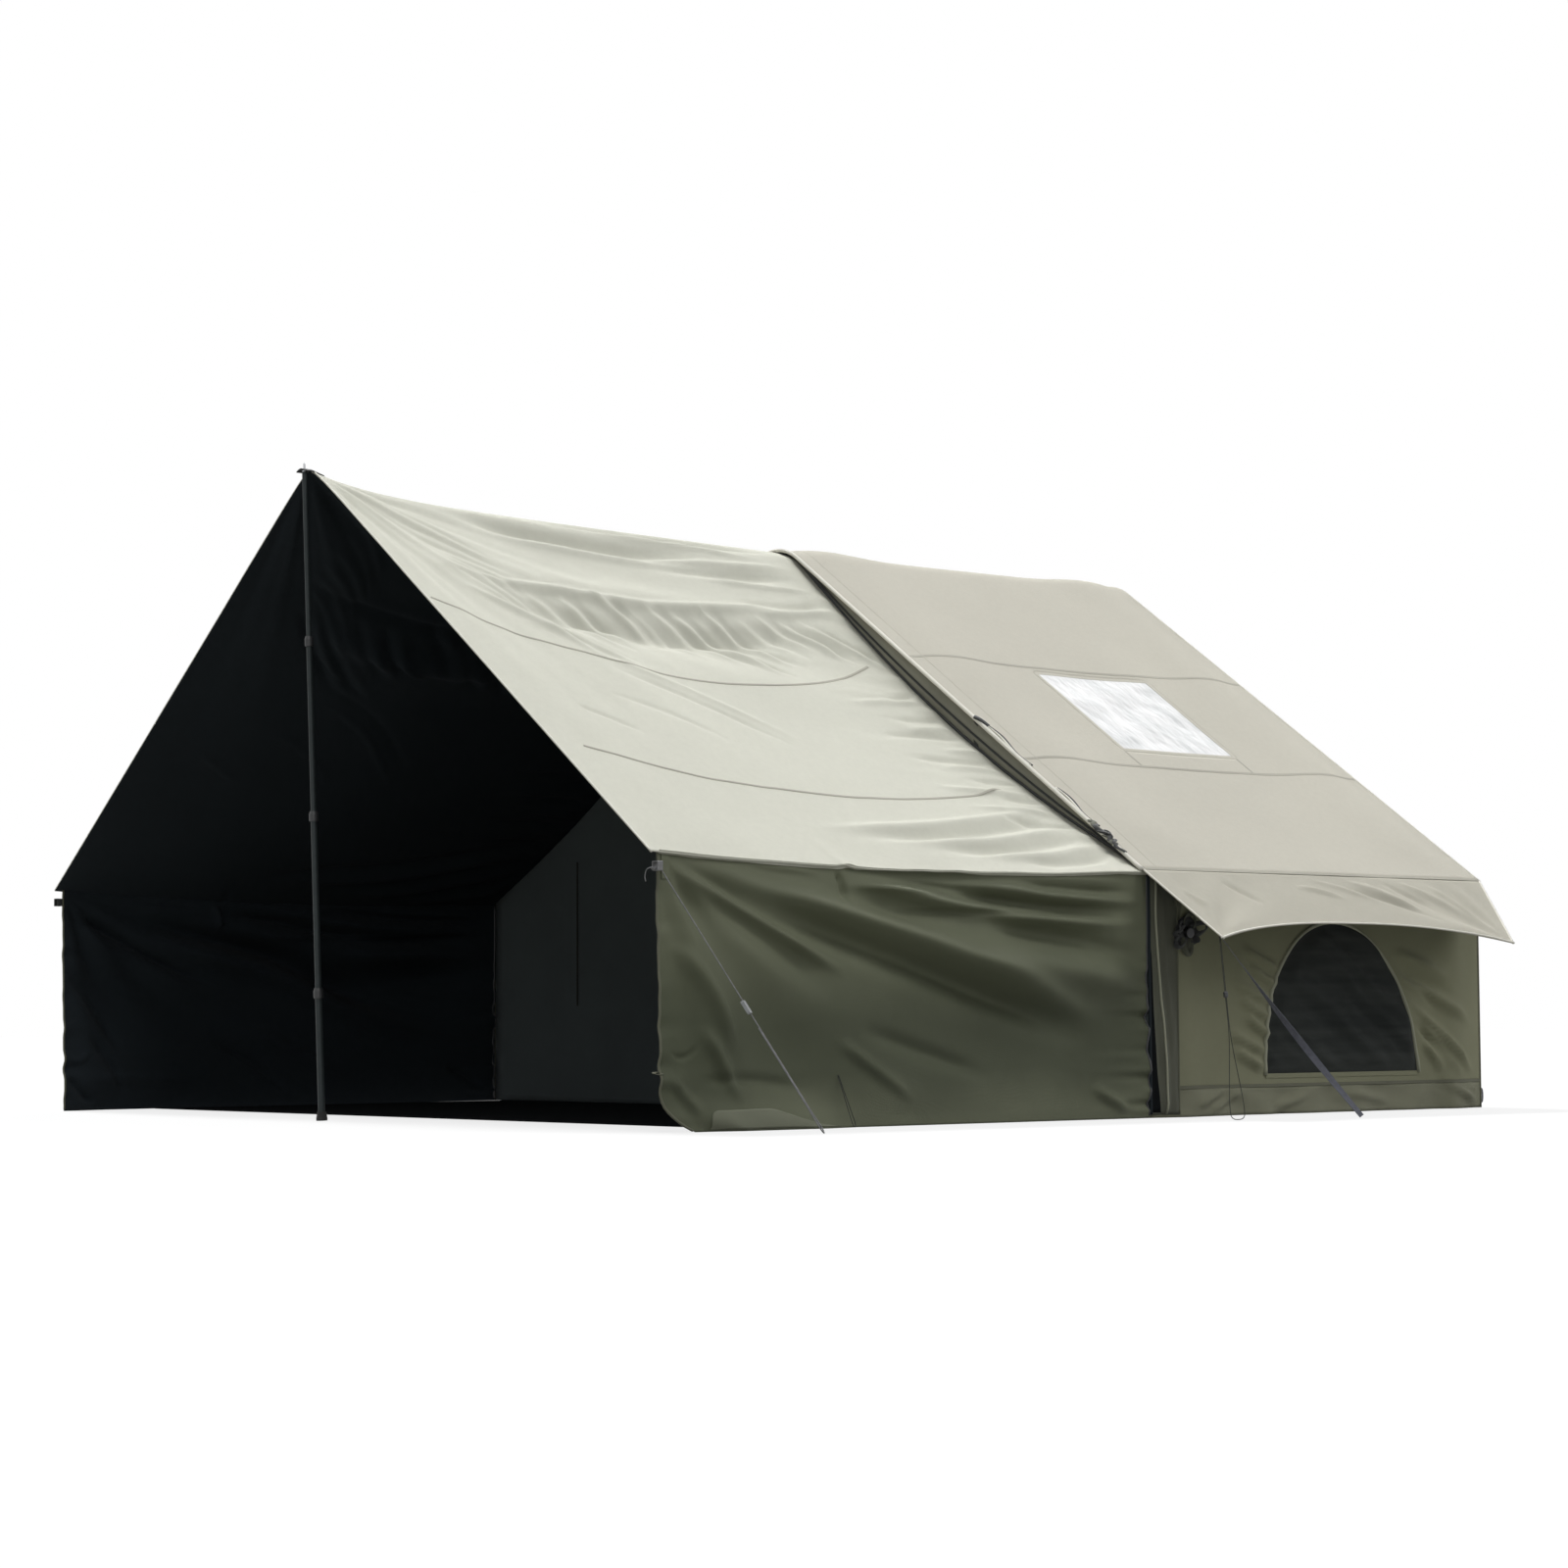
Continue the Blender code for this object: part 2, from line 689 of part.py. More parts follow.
def build_cabin_walls():
    levels = spread(skirt_height + gap / 2, wall_top_z, wall_rows)
    middle = cabin_y + window_middle
    centre = (middle, window_sill + window_rise * 0.48)
    sill_spread = window_width / 2 * (window_sill - skirt_height) / (centre[1] - window_sill)
    block_front = middle - window_width / 2 - sill_spread - window_block_margin
    block_back = middle + window_width / 2 + sill_spread + window_block_margin
    hole = window_outline()
    leg_columns = front_leg_columns()
    back_columns = [beam_back_y + leg_bulge_width * share for share in (-1.2, -0.6, 0.0, 0.6, 1.2)]
    front_columns = [cabin_y + gap] + leg_columns + [(leg_columns[-1] + block_front) / 2, block_front]
    rear_columns = [block_back] + [y for y in back_columns if y > block_back + 0.02] + [back_y]
    rim = [(block_front, z) for z in levels] + [(block_back, z) for z in levels]
    rim += [(y, z) for y in spread(block_front, block_back, 10) for z in (levels[0], levels[-1])]
    outline = rectangle(block_front, block_back, levels[0], levels[-1])
    rim += [ray_hit(centre, sill_corner, outline) for sill_corner in (hole[0], hole[-1])]
    rim = by_angle(centre, rim)
    faces = grid_faces(front_columns, levels) + grid_faces(rear_columns, levels)
    faces += ring_faces(rim, centre, hole, 4)
    skirt_columns = front_columns + spread(block_front, block_back, 6)[1:] + rear_columns[1:]
    pane = shrunk([ray_hit(centre, point, hole) for point in rim], centre, gap)
    for side, word in sides:
        def on_wall(y, z, depth, side=side):
            return place_on_wall(side, y, z, depth)

        panel("cabin_wall_" + word, faces, on_wall, green)
        panel("window_mesh_" + word, disc_faces(pane, centre, 3), on_wall, dark_net, cloth / 2)
        skirt = grid_faces(skirt_columns, [0.0, skirt_height - gap / 2])
        panel("wall_skirt_" + word, skirt, on_wall, green)


def build_window_covers():
    """Inner covers that fold down from the sill; they lie open on the floor."""
    middle = cabin_y + window_middle
    rise = window_sill + window_rise + cover_margin - cover_hinge_height
    half = window_width / 2 + cover_margin
    outline = [(-half, 0.0)]
    for turn in spread(0.0, math.pi, 20):
        outline.append((half * math.cos(math.pi - turn), (rise - 0.02) * math.sin(turn) + 0.02))
    outline.append((half, 0.0))
    droop = math.asin((cover_hinge_height - floor_z - cloth) / rise)
    thickness = cloth - gap
    for side, word in sides:
        pivot = bpy.data.objects.new("window_cover_hinge_" + word, None)
        bpy.context.scene.collection.objects.link(pivot)
        pivot.location = (side * (wall_inner_x - cover_clearance), middle, cover_hinge_height)
        pivot.rotation_euler = (0.0, -side * (math.pi / 2 + droop), 0.0)

        def flat(along, up, depth, side=side):
            return Vector((-side * depth, along, up))

        cover = panel("window_cover_" + word, [outline], flat, green, thickness)
        cover.parent = pivot


def build_gables():
    low = floor_z
    side_x = wall_inner_x - gap
    eave_z = roof_height(side_x) - cloth - gap
    slope_x = [x for x in ridge_samples() if x < side_x]
    outline = [(-side_x, low), (side_x, low), (side_x, eave_z)]
    outline += [(x, roof_height(x) - cloth - gap) for x in reversed(slope_x)]
    outline += [(0.0, ridge_height - cloth - gap)]
    outline += [(-x, roof_height(x) - cloth - gap) for x in slope_x] + [(-side_x, eave_z)]
    centre = (0.0, door_sill + door_height / 2)
    half = door_width / 2
    top = door_sill + door_height
    hole = [(-half, door_sill), (half, door_sill)]
    for turn in spread(0.0, math.pi / 2, 5):
        x = half - door_corner_radius * (1 - math.cos(turn))
        hole.append((x, top - door_corner_radius * (1 - math.sin(turn))))
    hole += [(-x, z) for x, z in reversed(hole[2:])]
    outer = by_angle(centre, outline + [ray_hit(centre, point, outline) for point in hole])

    def on_front(x, z, depth):
        return Vector((x, gable_y + depth, z))

    def on_back(x, z, depth):
        return Vector((x, back_y - depth, z))

    panel("front_gable", ring_faces(outer, centre, hole, 2), on_front, black_cloth)
    panel("rear_gable", disc_faces(by_angle(centre, outline), centre, 2), on_back, green)
    door = [(x * (1 - door_clearance / half), z) for x, z in hole]
    door = [(x, min(max(z, door_sill + door_clearance), top - door_clearance)) for x, z in door]
    hinge_x = -half * (1 - door_clearance / half)
    outline = [(x - hinge_x, z) for x, z in door]
    leaf = panel("door_panel", [outline], lambda x, z, depth: Vector((x, depth, z)), black_cloth)
    leaf.location = (hinge_x, gable_y, 0.0)
    tape_x = half + zip_tape_offset
    tape_y = gable_y - gap - zip_tape_thickness
    block("door_zip_tape", (tape_x, tape_y, door_sill),
          (tape_x + zip_tape_width, gable_y - gap, top - door_corner_radius), plastic)
    build_zip_slider(tape_x + zip_tape_width / 2, tape_y - gap)


def build_zip_slider(x, face_y):
    """The slider of the door's zip, with its pull hanging down."""
    half, pull = zip_slider_width / 2, zip_pull_width / 2
    right = [(pull, -zip_pull_length), (pull * 0.6, 0.0), (half * 0.7, 0.0),
             (half, zip_slider_length * 0.6), (half * 0.6, zip_slider_length)]
    outline = right + [(-across, up) for across, up in reversed(right)]
    slider = panel("door_zip_slider", [outline], lambda across, up, depth: Vector((across, -depth, up)),
                   plastic, zip_slider_thickness)
    slider.location = (x, face_y, zip_slider_height)


def build_ground_sheets():
    inner = wall_inner_x - gap
    block("cabin_groundsheet", (-inner, gable_y, 0.0), (inner, back_y, ground_sheet_thickness), black_cloth)
    edge = awning_front_width / 2 - ground_sheet_margin
    block("awning_groundsheet", (-edge, front_y + ground_sheet_margin, 0.0),
          (edge, awning_back_y, ground_sheet_thickness), black_cloth)


def build_air_beams():
    path = arch_path()
    inner = beam_radius - beam_wall
    arches = []
    for name, y in (("front_beam", beam_front_y), ("rear_beam", beam_back_y)):
        rings = [tube_rings(path, radius, y) for radius in (beam_radius, inner, inner - gap)]
        arches.append(sleeve_and_bladder(name, *rings)[0])
    centre_z = ridge_height - cloth - gap - beam_radius
    ends = (beam_front_y + beam_radius + gap, beam_back_y - beam_radius - gap)
    layers = []
    for radius in (beam_radius, inner, inner - gap):
        rings = []
        for y in ends:
            ring = []
            for k in range(beam_sides):
                turn = 2 * math.pi * k / beam_sides
                ring.append(Vector((radius * math.cos(turn), y, centre_z + radius * math.sin(turn))))
            rings.append(ring)
        layers.append(rings)
    sleeve_and_bladder("ridge_beam", *layers)
    return arches[0]


def build_valve(front_sleeve):
    """The one air valve, low on the front right leg, through the wall and the sleeve to the bladder."""
    outward = Matrix.Rotation(math.pi / 2, 4, "Y")
    place = Matrix.Translation((leg_x, beam_front_y, valve_height)) @ outward
    near, far = beam_radius * 0.5, beam_radius * 1.5
    profile = [(0.0, near), (valve_hole_radius, near), (valve_hole_radius, far), (0.0, far)]
    drill = cutter(revolve("valve_drill", profile, plastic, 12, place))
    cut(front_sleeve, drill)
    cut(bpy.data.objects["cabin_wall_right"], drill)
    stem = beam_radius - beam_wall + gap
    face = beam_radius + gap + cloth + gap
    flange = face + valve_flange_thickness
    neck = flange + valve_neck_length
    profile = [(0.0, stem), (valve_stem_radius, stem), (valve_stem_radius, face),
               (valve_flange_radius, face), (valve_flange_radius, flange),
               (valve_neck_radius, flange), (valve_neck_radius, neck), (0.0, neck)]
    revolve("valve_body", profile, plastic, 16, place)
    rim = valve_neck_radius + valve_cap_rim
    pivot = bpy.data.objects.new("valve_cap_hinge", None)
    bpy.context.scene.collection.objects.link(pivot)
    pivot.matrix_world = Matrix.Translation((leg_x + neck + gap, beam_front_y, valve_height + rim)) @ outward
    profile = [(0.0, 0.0), (rim, 0.0), (rim, valve_cap_thickness * 0.7),
               (rim * 0.8, valve_cap_thickness), (0.0, valve_cap_thickness)]
    lid = revolve("valve_cap", profile, grey_web, 16)
    lid.parent = pivot
    lid.location = (rim, 0.0, 0.0)


def build_awning_roof():
    for side, word in sides:
        def on_roof(share, back, depth, side=side):
            x = gap / 2 + share * (awning_half_width(back) - gap / 2)
            return Vector((side * x, awning_y(share, back), awning_top(share, back) - depth))

        panel("awning_roof_" + word, grid_faces(roof_shares, roof_rows), on_roof, beige)


def wall_top(along):
    """Top edge of an awning side wall, just under the last strip of the roof."""
    inner_share = roof_shares[-2]
    share = 1.0 - wall_inset / awning_half_width(along)
    low, high = awning_top(1.0, along), awning_top(inner_share, along)
    return low + (high - low) * (1.0 - share) / (1.0 - inner_share) - cloth - 2 * gap


def build_awning_walls():
    for side, word in sides:
        def on_wall(back, up, depth, side=side):
            return place_on_awning_wall(side, back, up, depth)

        panel("awning_wall_" + word, grid_faces(roof_rows, spread(0, 1, 10)), on_wall, olive)


def build_zip_flaps():
    """Upright strips that cover the zip between the awning walls and the cabin."""
    edge = cabin_y + zip_flap_width
    columns = [cabin_y + gap] + [y for y in front_leg_columns() if y <= edge]
    last_bend = wall_top_z - (wall_top_z - skirt_height) / wall_rows
    levels = spread(zip_flap_lift, last_bend, 4) + [wall_top_z - zip_flap_lift]
    for side, word in sides:
        def on_flap(y, z, depth, side=side):
            return place_on_wall(side, y, z, depth - cloth - 2 * gap)

        panel("zip_flap_" + word, grid_faces(columns, levels), on_flap, green)


def build_pole():
    """Four nested tubes that lean forward from the threshold up to the awning's apex."""
    foot_y = front_y + pole_foot_set_in
    tip_y = apex_y - tab_lead
    lean = math.atan2(foot_y - tip_y, apex_height)
    root = bpy.data.objects.new("pole_line", None)
    bpy.context.scene.collection.objects.link(root)
    root.location = (0.0, foot_y, pole_foot_radius * math.sin(lean))
    root.rotation_euler = (lean, 0.0, 0.0)
    tab_half = awning_half_width(0.0) * roof_shares[1]
    tab_fall = (apex_height - awning_top(roof_shares[1], 0.0)) * pole_radii[-1] / tab_half
    tab_under = apex_height + tab_clearance - tab_fall - root.location.z
    shoulder_top = tab_under / math.cos(lean) - gap - pole_radii[-1] * math.tan(lean)
    tube_top = shoulder_top - shoulder_rim
    tops = list(pole_tops) + [tube_top]
    bottoms = [pole_foot_floor + gap] + [top - pole_overlap for top in pole_tops]
    for number, (radius, low, high) in enumerate(zip(pole_radii, bottoms, tops), 1):
        inner = radius - pole_wall
        profile = [(radius, low), (radius, high), (inner, high), (inner, low)]
        revolve(f"pole_section_{number}", profile, steel, 16).parent = root
    cup = pole_radii[0] + gap
    profile = [(0.0, 0.0), (pole_foot_radius, 0.0), (pole_foot_radius, pole_foot_sole),
               (cup + pole_foot_wall, pole_foot_height), (cup, pole_foot_height),
               (cup, pole_foot_floor), (0.0, pole_foot_floor)]
    revolve("pole_foot", profile, rubber, 16).parent = root
    for number, top in enumerate(pole_tops, 1):
        bore = pole_radii[number - 1] + collar_clearance
        neck = pole_radii[number] + collar_clearance
        outer = bore + collar_wall
        low = top - collar_length * 0.7
        high = top + collar_length * 0.3
        step = top + collar_lip
        profile = [(bore, low), (outer, low), (outer + collar_lip, low + collar_bevel),
                   (outer + collar_lip, top), (outer - collar_bevel / 2, high), (neck, high),
                   (neck, step), (bore, step)]
        revolve(f"pole_collar_{number}", profile, plastic, 16).parent = root
    bore = pole_radii[-1] - pole_wall - gap
    rim = tube_top + gap
    plug = shoulder_top - shoulder_length
    profile = [(0.0, plug), (bore, plug), (bore, rim), (pole_radii[-1], rim), (pole_radii[-1], shoulder_top),
               (spike_radius, shoulder_top), (spike_radius, shoulder_top + spike_length * 0.8),
               (0.0, shoulder_top + spike_length)]
    revolve("pole_spike", profile, steel, 16).parent = root
    return tip_y


def build_apex_tab(tip_y):
    """The webbing tab over the awning's apex, with the hole that takes the pole's spike."""
    front_half = awning_half_width(0.0)
    half = front_half * roof_shares[1]
    tail = (awning_back_y - apex_y) * roof_rows[1]
    low_y = tip_y - tab_hole_radius - tab_margin

    def on_tab(x, y, depth):
        share = abs(x) / front_half
        along = max(y - apex_y, 0.0) / (awning_back_y - apex_y)
        if y > apex_y:
            y = awning_y(share, along)
        if x:
            x = math.copysign(gap / 2 + share * (awning_half_width(along) - gap / 2), x)
        return Vector((x, y, awning_top(share, along) + cloth + tab_clearance - depth))

    centre = (0.0, tip_y)
    round_hole = []
    for turn in spread(0.0, 2 * math.pi, 12)[:-1]:
        round_hole.append((tab_hole_radius * math.cos(turn), tip_y + tab_hole_radius * math.sin(turn)))
    outline = rectangle(-half, half, low_y, apex_y - gap)
    rim = outline + [(0.0, apex_y - gap)] + [ray_hit(centre, point, outline) for point in round_hole]
    faces = ring_faces(by_angle(centre, rim), centre, round_hole, 1)
    columns = sorted(x for x, y in by_angle(centre, rim) if y > apex_y - 2 * gap)
    faces += grid_faces(columns, [apex_y - gap, apex_y + tail])
    panel("apex_tab", faces, on_tab, grey_web)


def build_corner_loops():
    """Webbing loops on the awning walls, under the roof's front corners. Gives the right one's place."""
    x = awning_half_width(0.0) - wall_inset + loop_standoff
    place = Vector((x, corner_y + loop_set_back, wall_top(0.0) - loop_drop))
    outer = rectangle(0.0, loop_size, -loop_size / 2, loop_size / 2)
    slot = loop_size / 2 - loop_bar
    inner = rectangle(loop_bar, loop_size - loop_bar, -slot, slot)
    frame = []
    for k in range(4):
        after = (k + 1) % 4
        frame.append([inner[k], inner[after], outer[after], outer[k]])
    for side, word in sides:
        def on_loop(out, up, depth, side=side):
            return Vector((side * (place.x + out), place.y + depth, place.z + up))

        panel("corner_loop_" + word, frame, on_loop, grey_web, loop_width)
    return place


def doubled_route(top, ground, strand, tail=0.0):
    """Down one strand of a doubled cord, round its end on the ground and up the other to its tail."""
    down = ground - top
    across = down.cross(Vector((0.0, 0.0, 1.0))).normalized()
    one = [top + down * share - across * aside for share, aside in strand]
    other = [top + down * share + across * aside for share, aside in strand[:-1] if share >= tail]
    return one + other[::-1]


def hanging_frame(top, ground):
    """A frame at the top of a cord or strap: X across it and Z down along it."""
    down = (ground - top).normalized()
    across = down.cross(Vector((0.0, 0.0, 1.0))).normalized()
    return Matrix.Translation(top) @ Matrix((across, across.cross(down), down)).transposed().to_4x4()


def build_guy_rope(loop):
    """The front right guy rope: through the corner loop, down to the ground and back up to its tensioner."""
    half = rope_spacing / 2
    over_bar = loop + Vector((loop_size / 2, 0.0, -loop_size / 2 + loop_bar + rope_radius + 2 * gap))
    bends = ((-0.2, -loop_bar), (-0.05, 0.0), (0.5, 0.0), (1.25, 0.0))
    hook = [over_bar + Vector((0.0, loop_width * back, drop)) for back, drop in bends]
    top = over_bar + Vector((half, loop_width * 1.5, -loop_size / 2))
    ground = Vector((top.x + rope_reach[0], top.y + rope_reach[1], rope_radius + ground_clearance))
    points = hook + doubled_route(top, ground, rope_strand, rope_tail)
    cord_tube("guy_rope", smooth_route(points, 3), rope_radius, grey_web)
    along = (ground - top).length * tensioner_at
    place = hanging_frame(top, ground) @ Matrix.Translation((0.0, 0.0, along))
    across, thick, tall = tensioner_width / 2, tensioner_thickness / 2, tensioner_length / 2
    outline = [(-across, -tall * 0.8), (-across * 0.8, -tall), (across * 0.8, -tall), (across, -tall * 0.8)]
    outline += [(-a, -b) for a, b in outline]
    body = panel("rope_tensioner", [outline], lambda a, b, depth: Vector((a, depth - thick, b)),
                 plastic, tensioner_thickness)
    body.matrix_world = place
    bore = rope_radius + bore_clearance
    profile = [(0.0, -2 * tall), (bore, -2 * tall), (bore, 2 * tall), (0.0, 2 * tall)]
    for sign, word in sides:
        aside = place @ Matrix.Translation((sign * half, 0.0, 0.0))
        cut(body, cutter(revolve("tensioner_bore_" + word, profile, plastic, 12, aside)))


def flap_corner():
    """The pulled front corner of the right eave flap."""
    x = half_width + gap / 2 + flap_corner_reach
    return Vector((x, cabin_y - roof_overhang + flap_front_set, roof_height(x)))


def build_eave_strap():
    """The flat webbing strap from the flap's front corner to the ground, with its ladder buckle."""
    half, thick, bar = buckle_size / 2, buckle_thickness / 2, buckle_bar
    levels = [0.0, bar, half - bar / 2, half + bar / 2, buckle_size - bar, buckle_size]
    columns = [-half, -half + bar, half - bar, half]
    slots = ((columns[1], levels[1]), (columns[1], levels[3]))
    faces = [face for face in grid_faces(columns, levels) if face[0] not in slots]
    inset = half * 0.8
    corner = flap_corner()
    low_z = strap_width / 2 + ground_clearance
    ground = Vector((corner.x + strap_reach[0], corner.y + strap_reach[1], low_z))
    under = roof_height(corner.x - inset + half * math.sqrt(0.5)) - cloth
    top = Vector((corner.x - inset, corner.y + inset, under - thick - gap))
    frame = hanging_frame(top, ground)
    buckle = panel("strap_buckle", faces, lambda a, b, depth: Vector((a, depth - thick, b)),
                   plastic, buckle_thickness)
    buckle.matrix_world = frame
    start = buckle_size + gap
    length = (ground - top).length - start
    steps = 28
    vertices = []
    for along in spread(0.0, 1.0, steps):
        turn = 2 * math.pi * strap_turns * ease(along)
        sag = strap_sag * math.sin(math.pi * along)
        for a, b in rectangle(-strap_width / 2, strap_width / 2, -strap_thickness / 2, strap_thickness / 2):
            wide = a * math.cos(turn) - b * math.sin(turn)
            high = a * math.sin(turn) + b * math.cos(turn)
            vertices.append(frame @ Vector((wide, high, start + length * along)) - Vector((0.0, 0.0, sag)))
    faces = ring_sides(0, 4, steps + 1) + [(0, 1, 2, 3), tuple(4 * steps + k for k in range(4))]
    add_mesh("eave_strap", vertices, faces, grey_web)


def build_corner_cord():
    """The thin cord under the flap's corner: two strands through a cord lock, spread apart at the ground."""
    corner = flap_corner() + Vector((-0.022, 0.006, 0.0))
    top = Vector((corner.x, corner.y, roof_height(corner.x) - cloth - cord_radius - gap))
    ground = Vector((top.x + corner_cord_reach, top.y, cord_radius + ground_clearance))
    points = doubled_route(top, ground, corner_strand)
    cord_tube("corner_cord", smooth_route(points, 3), cord_radius, olive)
    along = (ground - top).length * cord_lock_at
    place = hanging_frame(top, ground) @ Matrix.Translation((0.0, 0.0, along))
    radius, tall = cord_lock_radius, cord_lock_length / 2
    profile = [(0.0, -tall), (radius * 0.7, -tall), (radius, -tall * 0.6),
               (radius, tall * 0.6), (radius * 0.8, tall), (0.0, tall)]
    barrel = revolve("cord_lock", profile, plastic, 16, place)
    thick = cord_radius + bore_clearance
    half = cord_spacing / 2
    low, high = (-half - thick, -thick, -2 * tall), (half + thick, thick, 2 * tall)
    slot = block("cord_lock_slot", low, high, plastic)
    slot.matrix_world = place
    cut(barrel, cutter(slot))


def build_hem_cord():
    """A short loop of cord on the awning wall's lower hem."""
    row = min(roof_rows, key=lambda back: abs(back - 1 / 3))
    top = place_on_awning_wall(1, row, hem_cord_height, -3 * cord_radius)
    ground = Vector((top.x + hem_cord_reach[0], top.y + hem_cord_reach[1], cord_radius + ground_clearance))
    points = doubled_route(top, ground, hem_strand)
    cord_tube("hem_cord", smooth_route(points, 3), cord_radius, black_cloth)


def build_junction_ties():
    """A short webbing tie on each side, from the cabin roof's front edge down to the awning's back edge."""
    half = strap_width / 2
    y = cabin_y - roof_overhang / 4
    for side, word in sides:
        def hang(x, up, depth, side=side):
            top = roof_height(x) - cloth - gap
            low = awning_top(x / awning_half_width(1.0), 1.0) + tie_clearance
            return Vector((side * x, y - depth, low + (top - low) * up))

        faces = grid_faces(spread(tie_line - half, tie_line + half, 2), [0.0, 1.0])
        panel("junction_tie_" + word, faces, hang, plastic, tie_thickness)


# Underside of the roof over a cabin side wall
wall_top_z = roof_height(wall_x) - cloth - gap

# Where the awning's cloth is creased, as shares of its width and depth: close together at the apex
roof_shares = [0.0, 0.015, 0.04, 0.08] + spread(0.13, 1.0, 13)
roof_rows = [0.0, 0.02, 0.05, 0.09, 0.14] + spread(0.20, 1.0, 12)

build_cabin_roof()
build_eave_flaps()
build_cabin_walls()
build_window_covers()
build_gables()
build_ground_sheets()
build_valve(build_air_beams())
build_awning_roof()
build_awning_walls()
build_zip_flaps()
build_apex_tab(build_pole())
build_guy_rope(build_corner_loops())
build_eave_strap()
build_corner_cord()
build_hem_cord()
build_junction_ties()
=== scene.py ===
"""Looks of the inflatable tent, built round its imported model. Metres, +Z up, the awning opens towards -Y."""

import math
from functools import partial

import bpy
import numpy as np
from mathutils import Matrix, Vector


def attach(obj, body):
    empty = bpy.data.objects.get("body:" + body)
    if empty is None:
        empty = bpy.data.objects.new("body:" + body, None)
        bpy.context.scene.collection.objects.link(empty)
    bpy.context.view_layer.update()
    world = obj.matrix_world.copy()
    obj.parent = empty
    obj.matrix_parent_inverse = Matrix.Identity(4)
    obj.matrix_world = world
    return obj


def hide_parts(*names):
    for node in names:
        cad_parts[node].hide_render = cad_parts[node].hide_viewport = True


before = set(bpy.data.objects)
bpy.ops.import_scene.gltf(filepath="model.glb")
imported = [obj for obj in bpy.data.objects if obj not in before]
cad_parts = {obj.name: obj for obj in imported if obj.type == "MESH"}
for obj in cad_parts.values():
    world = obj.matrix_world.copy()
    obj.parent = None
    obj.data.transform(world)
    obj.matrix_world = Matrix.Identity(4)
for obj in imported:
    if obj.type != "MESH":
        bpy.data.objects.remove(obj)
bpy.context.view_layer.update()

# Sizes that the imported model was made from
cloth, gap = 0.004, 0.0003
half_width = 2.18
eave_height, ridge_height, ridge_radius = 0.95, 2.42, 0.25
cabin_y, back_y = 0.175, 2.175
roof_overhang = 0.04
upper_seam, lower_seam = 0.84, 1.51
# The skylight's top and foot, out from the ridge, and its front and back edge
skylight = (0.88, 1.40, 0.845, 1.525)
wall_x = half_width - 0.012
skirt_height = 0.11
window_middle, window_half, window_sill, window_rise = 1.30, 0.465, 0.155, 0.63
beam_radius, beam_front_y, beam_back_y = 0.10, 0.36, 1.99
leg_bulge, leg_bulge_width = 0.025, 0.10
awning_depth, awning_front_width = 2.35, 4.24
apex_height, front_corner_height = 2.53, 0.957
front_y, apex_y, corner_y, awning_back_y = -2.175, -2.235, -2.20, 0.1747
tie_line = 1.235
zip_flap_width, zip_height = 0.14, 0.93
rope_radius, cord_radius = 0.0022, 0.0016
strap_width, strap_thickness, strap_turns, strap_sag = 0.025, 0.0016, 0.375, 0.012
rope_tail = 0.41
loop_size, loop_width, loop_corner = 0.036, 0.022, 0.006
flap_reach, flap_corner_reach, flap_front_inset, flap_back_inset = 0.29, 0.10, 0.025, 0.28
window_arch_margin, window_area = 0.025, 0.46
cover_hinge_height, cover_margin = 0.135, 0.02
door_half, door_low, door_high, door_corner = 0.45, 0.12, 1.78, 0.18
tab_half, tab_front, tab_back = 0.0315, -2.277, -2.187
zip_tape_x, zip_tape_low, zip_tape_high = 0.471, 0.121, 1.599
cabin_floor_half, awning_floor_half, awning_floor_inset = 2.1635, 2.07, 0.45
valve_height = 0.71
# How far out and back each rope's lower end lies from its upper one
rope_reach, strap_reach = (0.470, 0.310), (0.360, 0.350)
corner_cord_reach, hem_cord_reach = (0.080, 0), (0.055, 0.030)
ground_gap = 0.002

# Sizes of what is only modelled here: radii, thicknesses, and the tapes' width and thickness
piping, thick_piping, thin_piping, back_piping = 0.0045, 0.0085, 0.0028, 0.0040
zip_bead, gusset_bead = 0.0050, 0.0065
cloth_thickness, gable_thickness, film_thickness, thin_thickness = 0.0025, 0.0018, 0.0015, 0.0012
patch_thickness, hem_thickness, cover_thickness, tab_thickness = 0.0014, 0.0016, 0.0024, 0.0035
sleeve_inset, sleeve_thickness, bladder_inset = 0.0008, 0.0018, 0.006
roof_seam, skylight_seam, skylight_border = (0.016, 0.0012), (0.010, 0.0010), (0.022, 0.0012)
eave_seam, awning_seam, skirt_seam = (0.014, 0.0016), (0.011, 0.0018), (0.012, 0.0022)
gable_seam, rear_seam, sill_hem = (0.012, 0.0008), (0.014, 0.0012), (0.018, 0.0022)
corner_patch, valve_band = (0.034, 0.0022), (0.046, 0.0020)
zip_tape, tie_tape, ruffle_tape = (0.033, 0.0009), (strap_width, 0.0018), (0.020, 0.0018)
front_peg_tape, back_peg_tape = (0.018, 0.0018), (0.010, 0.0016)
bundle_width, bundle_thickness, bundle_strips = 0.020, 0.0022, 7
loop_skin = (-0.0018, 0.0022)
hood_inner, hood_width, hood_rings, hood_points, hood_ruffles = 0.0205, 0.040, 12, 72, 10
rope_pitch, rope_step, cord_pitch, cord_step = 0.016, 0.0018, 0.010, 0.0022

# Places along the cabin roof's front edge, out from the ridge
toggle_places = (1.255, 1.285, 1.315)
toggle_cord_runs = ((1.31, 1.56), (1.70, 1.93))
bundle_x, bundle_ring_x = 1.90, 1.985
sharp_angle = math.radians(50)
# Steps between the points of the meshes
trim_step, roof_step, wall_step, film_step = 0.02, 0.025, 0.016, 0.013
# How strong the drawn folds are
roof_fold_strength, awning_wall_fold_strength = 1.75, 2.1
flap_fold_strength, wall_fold_strength, skirt_fold_strength = 1.8, 2.2, 1.8

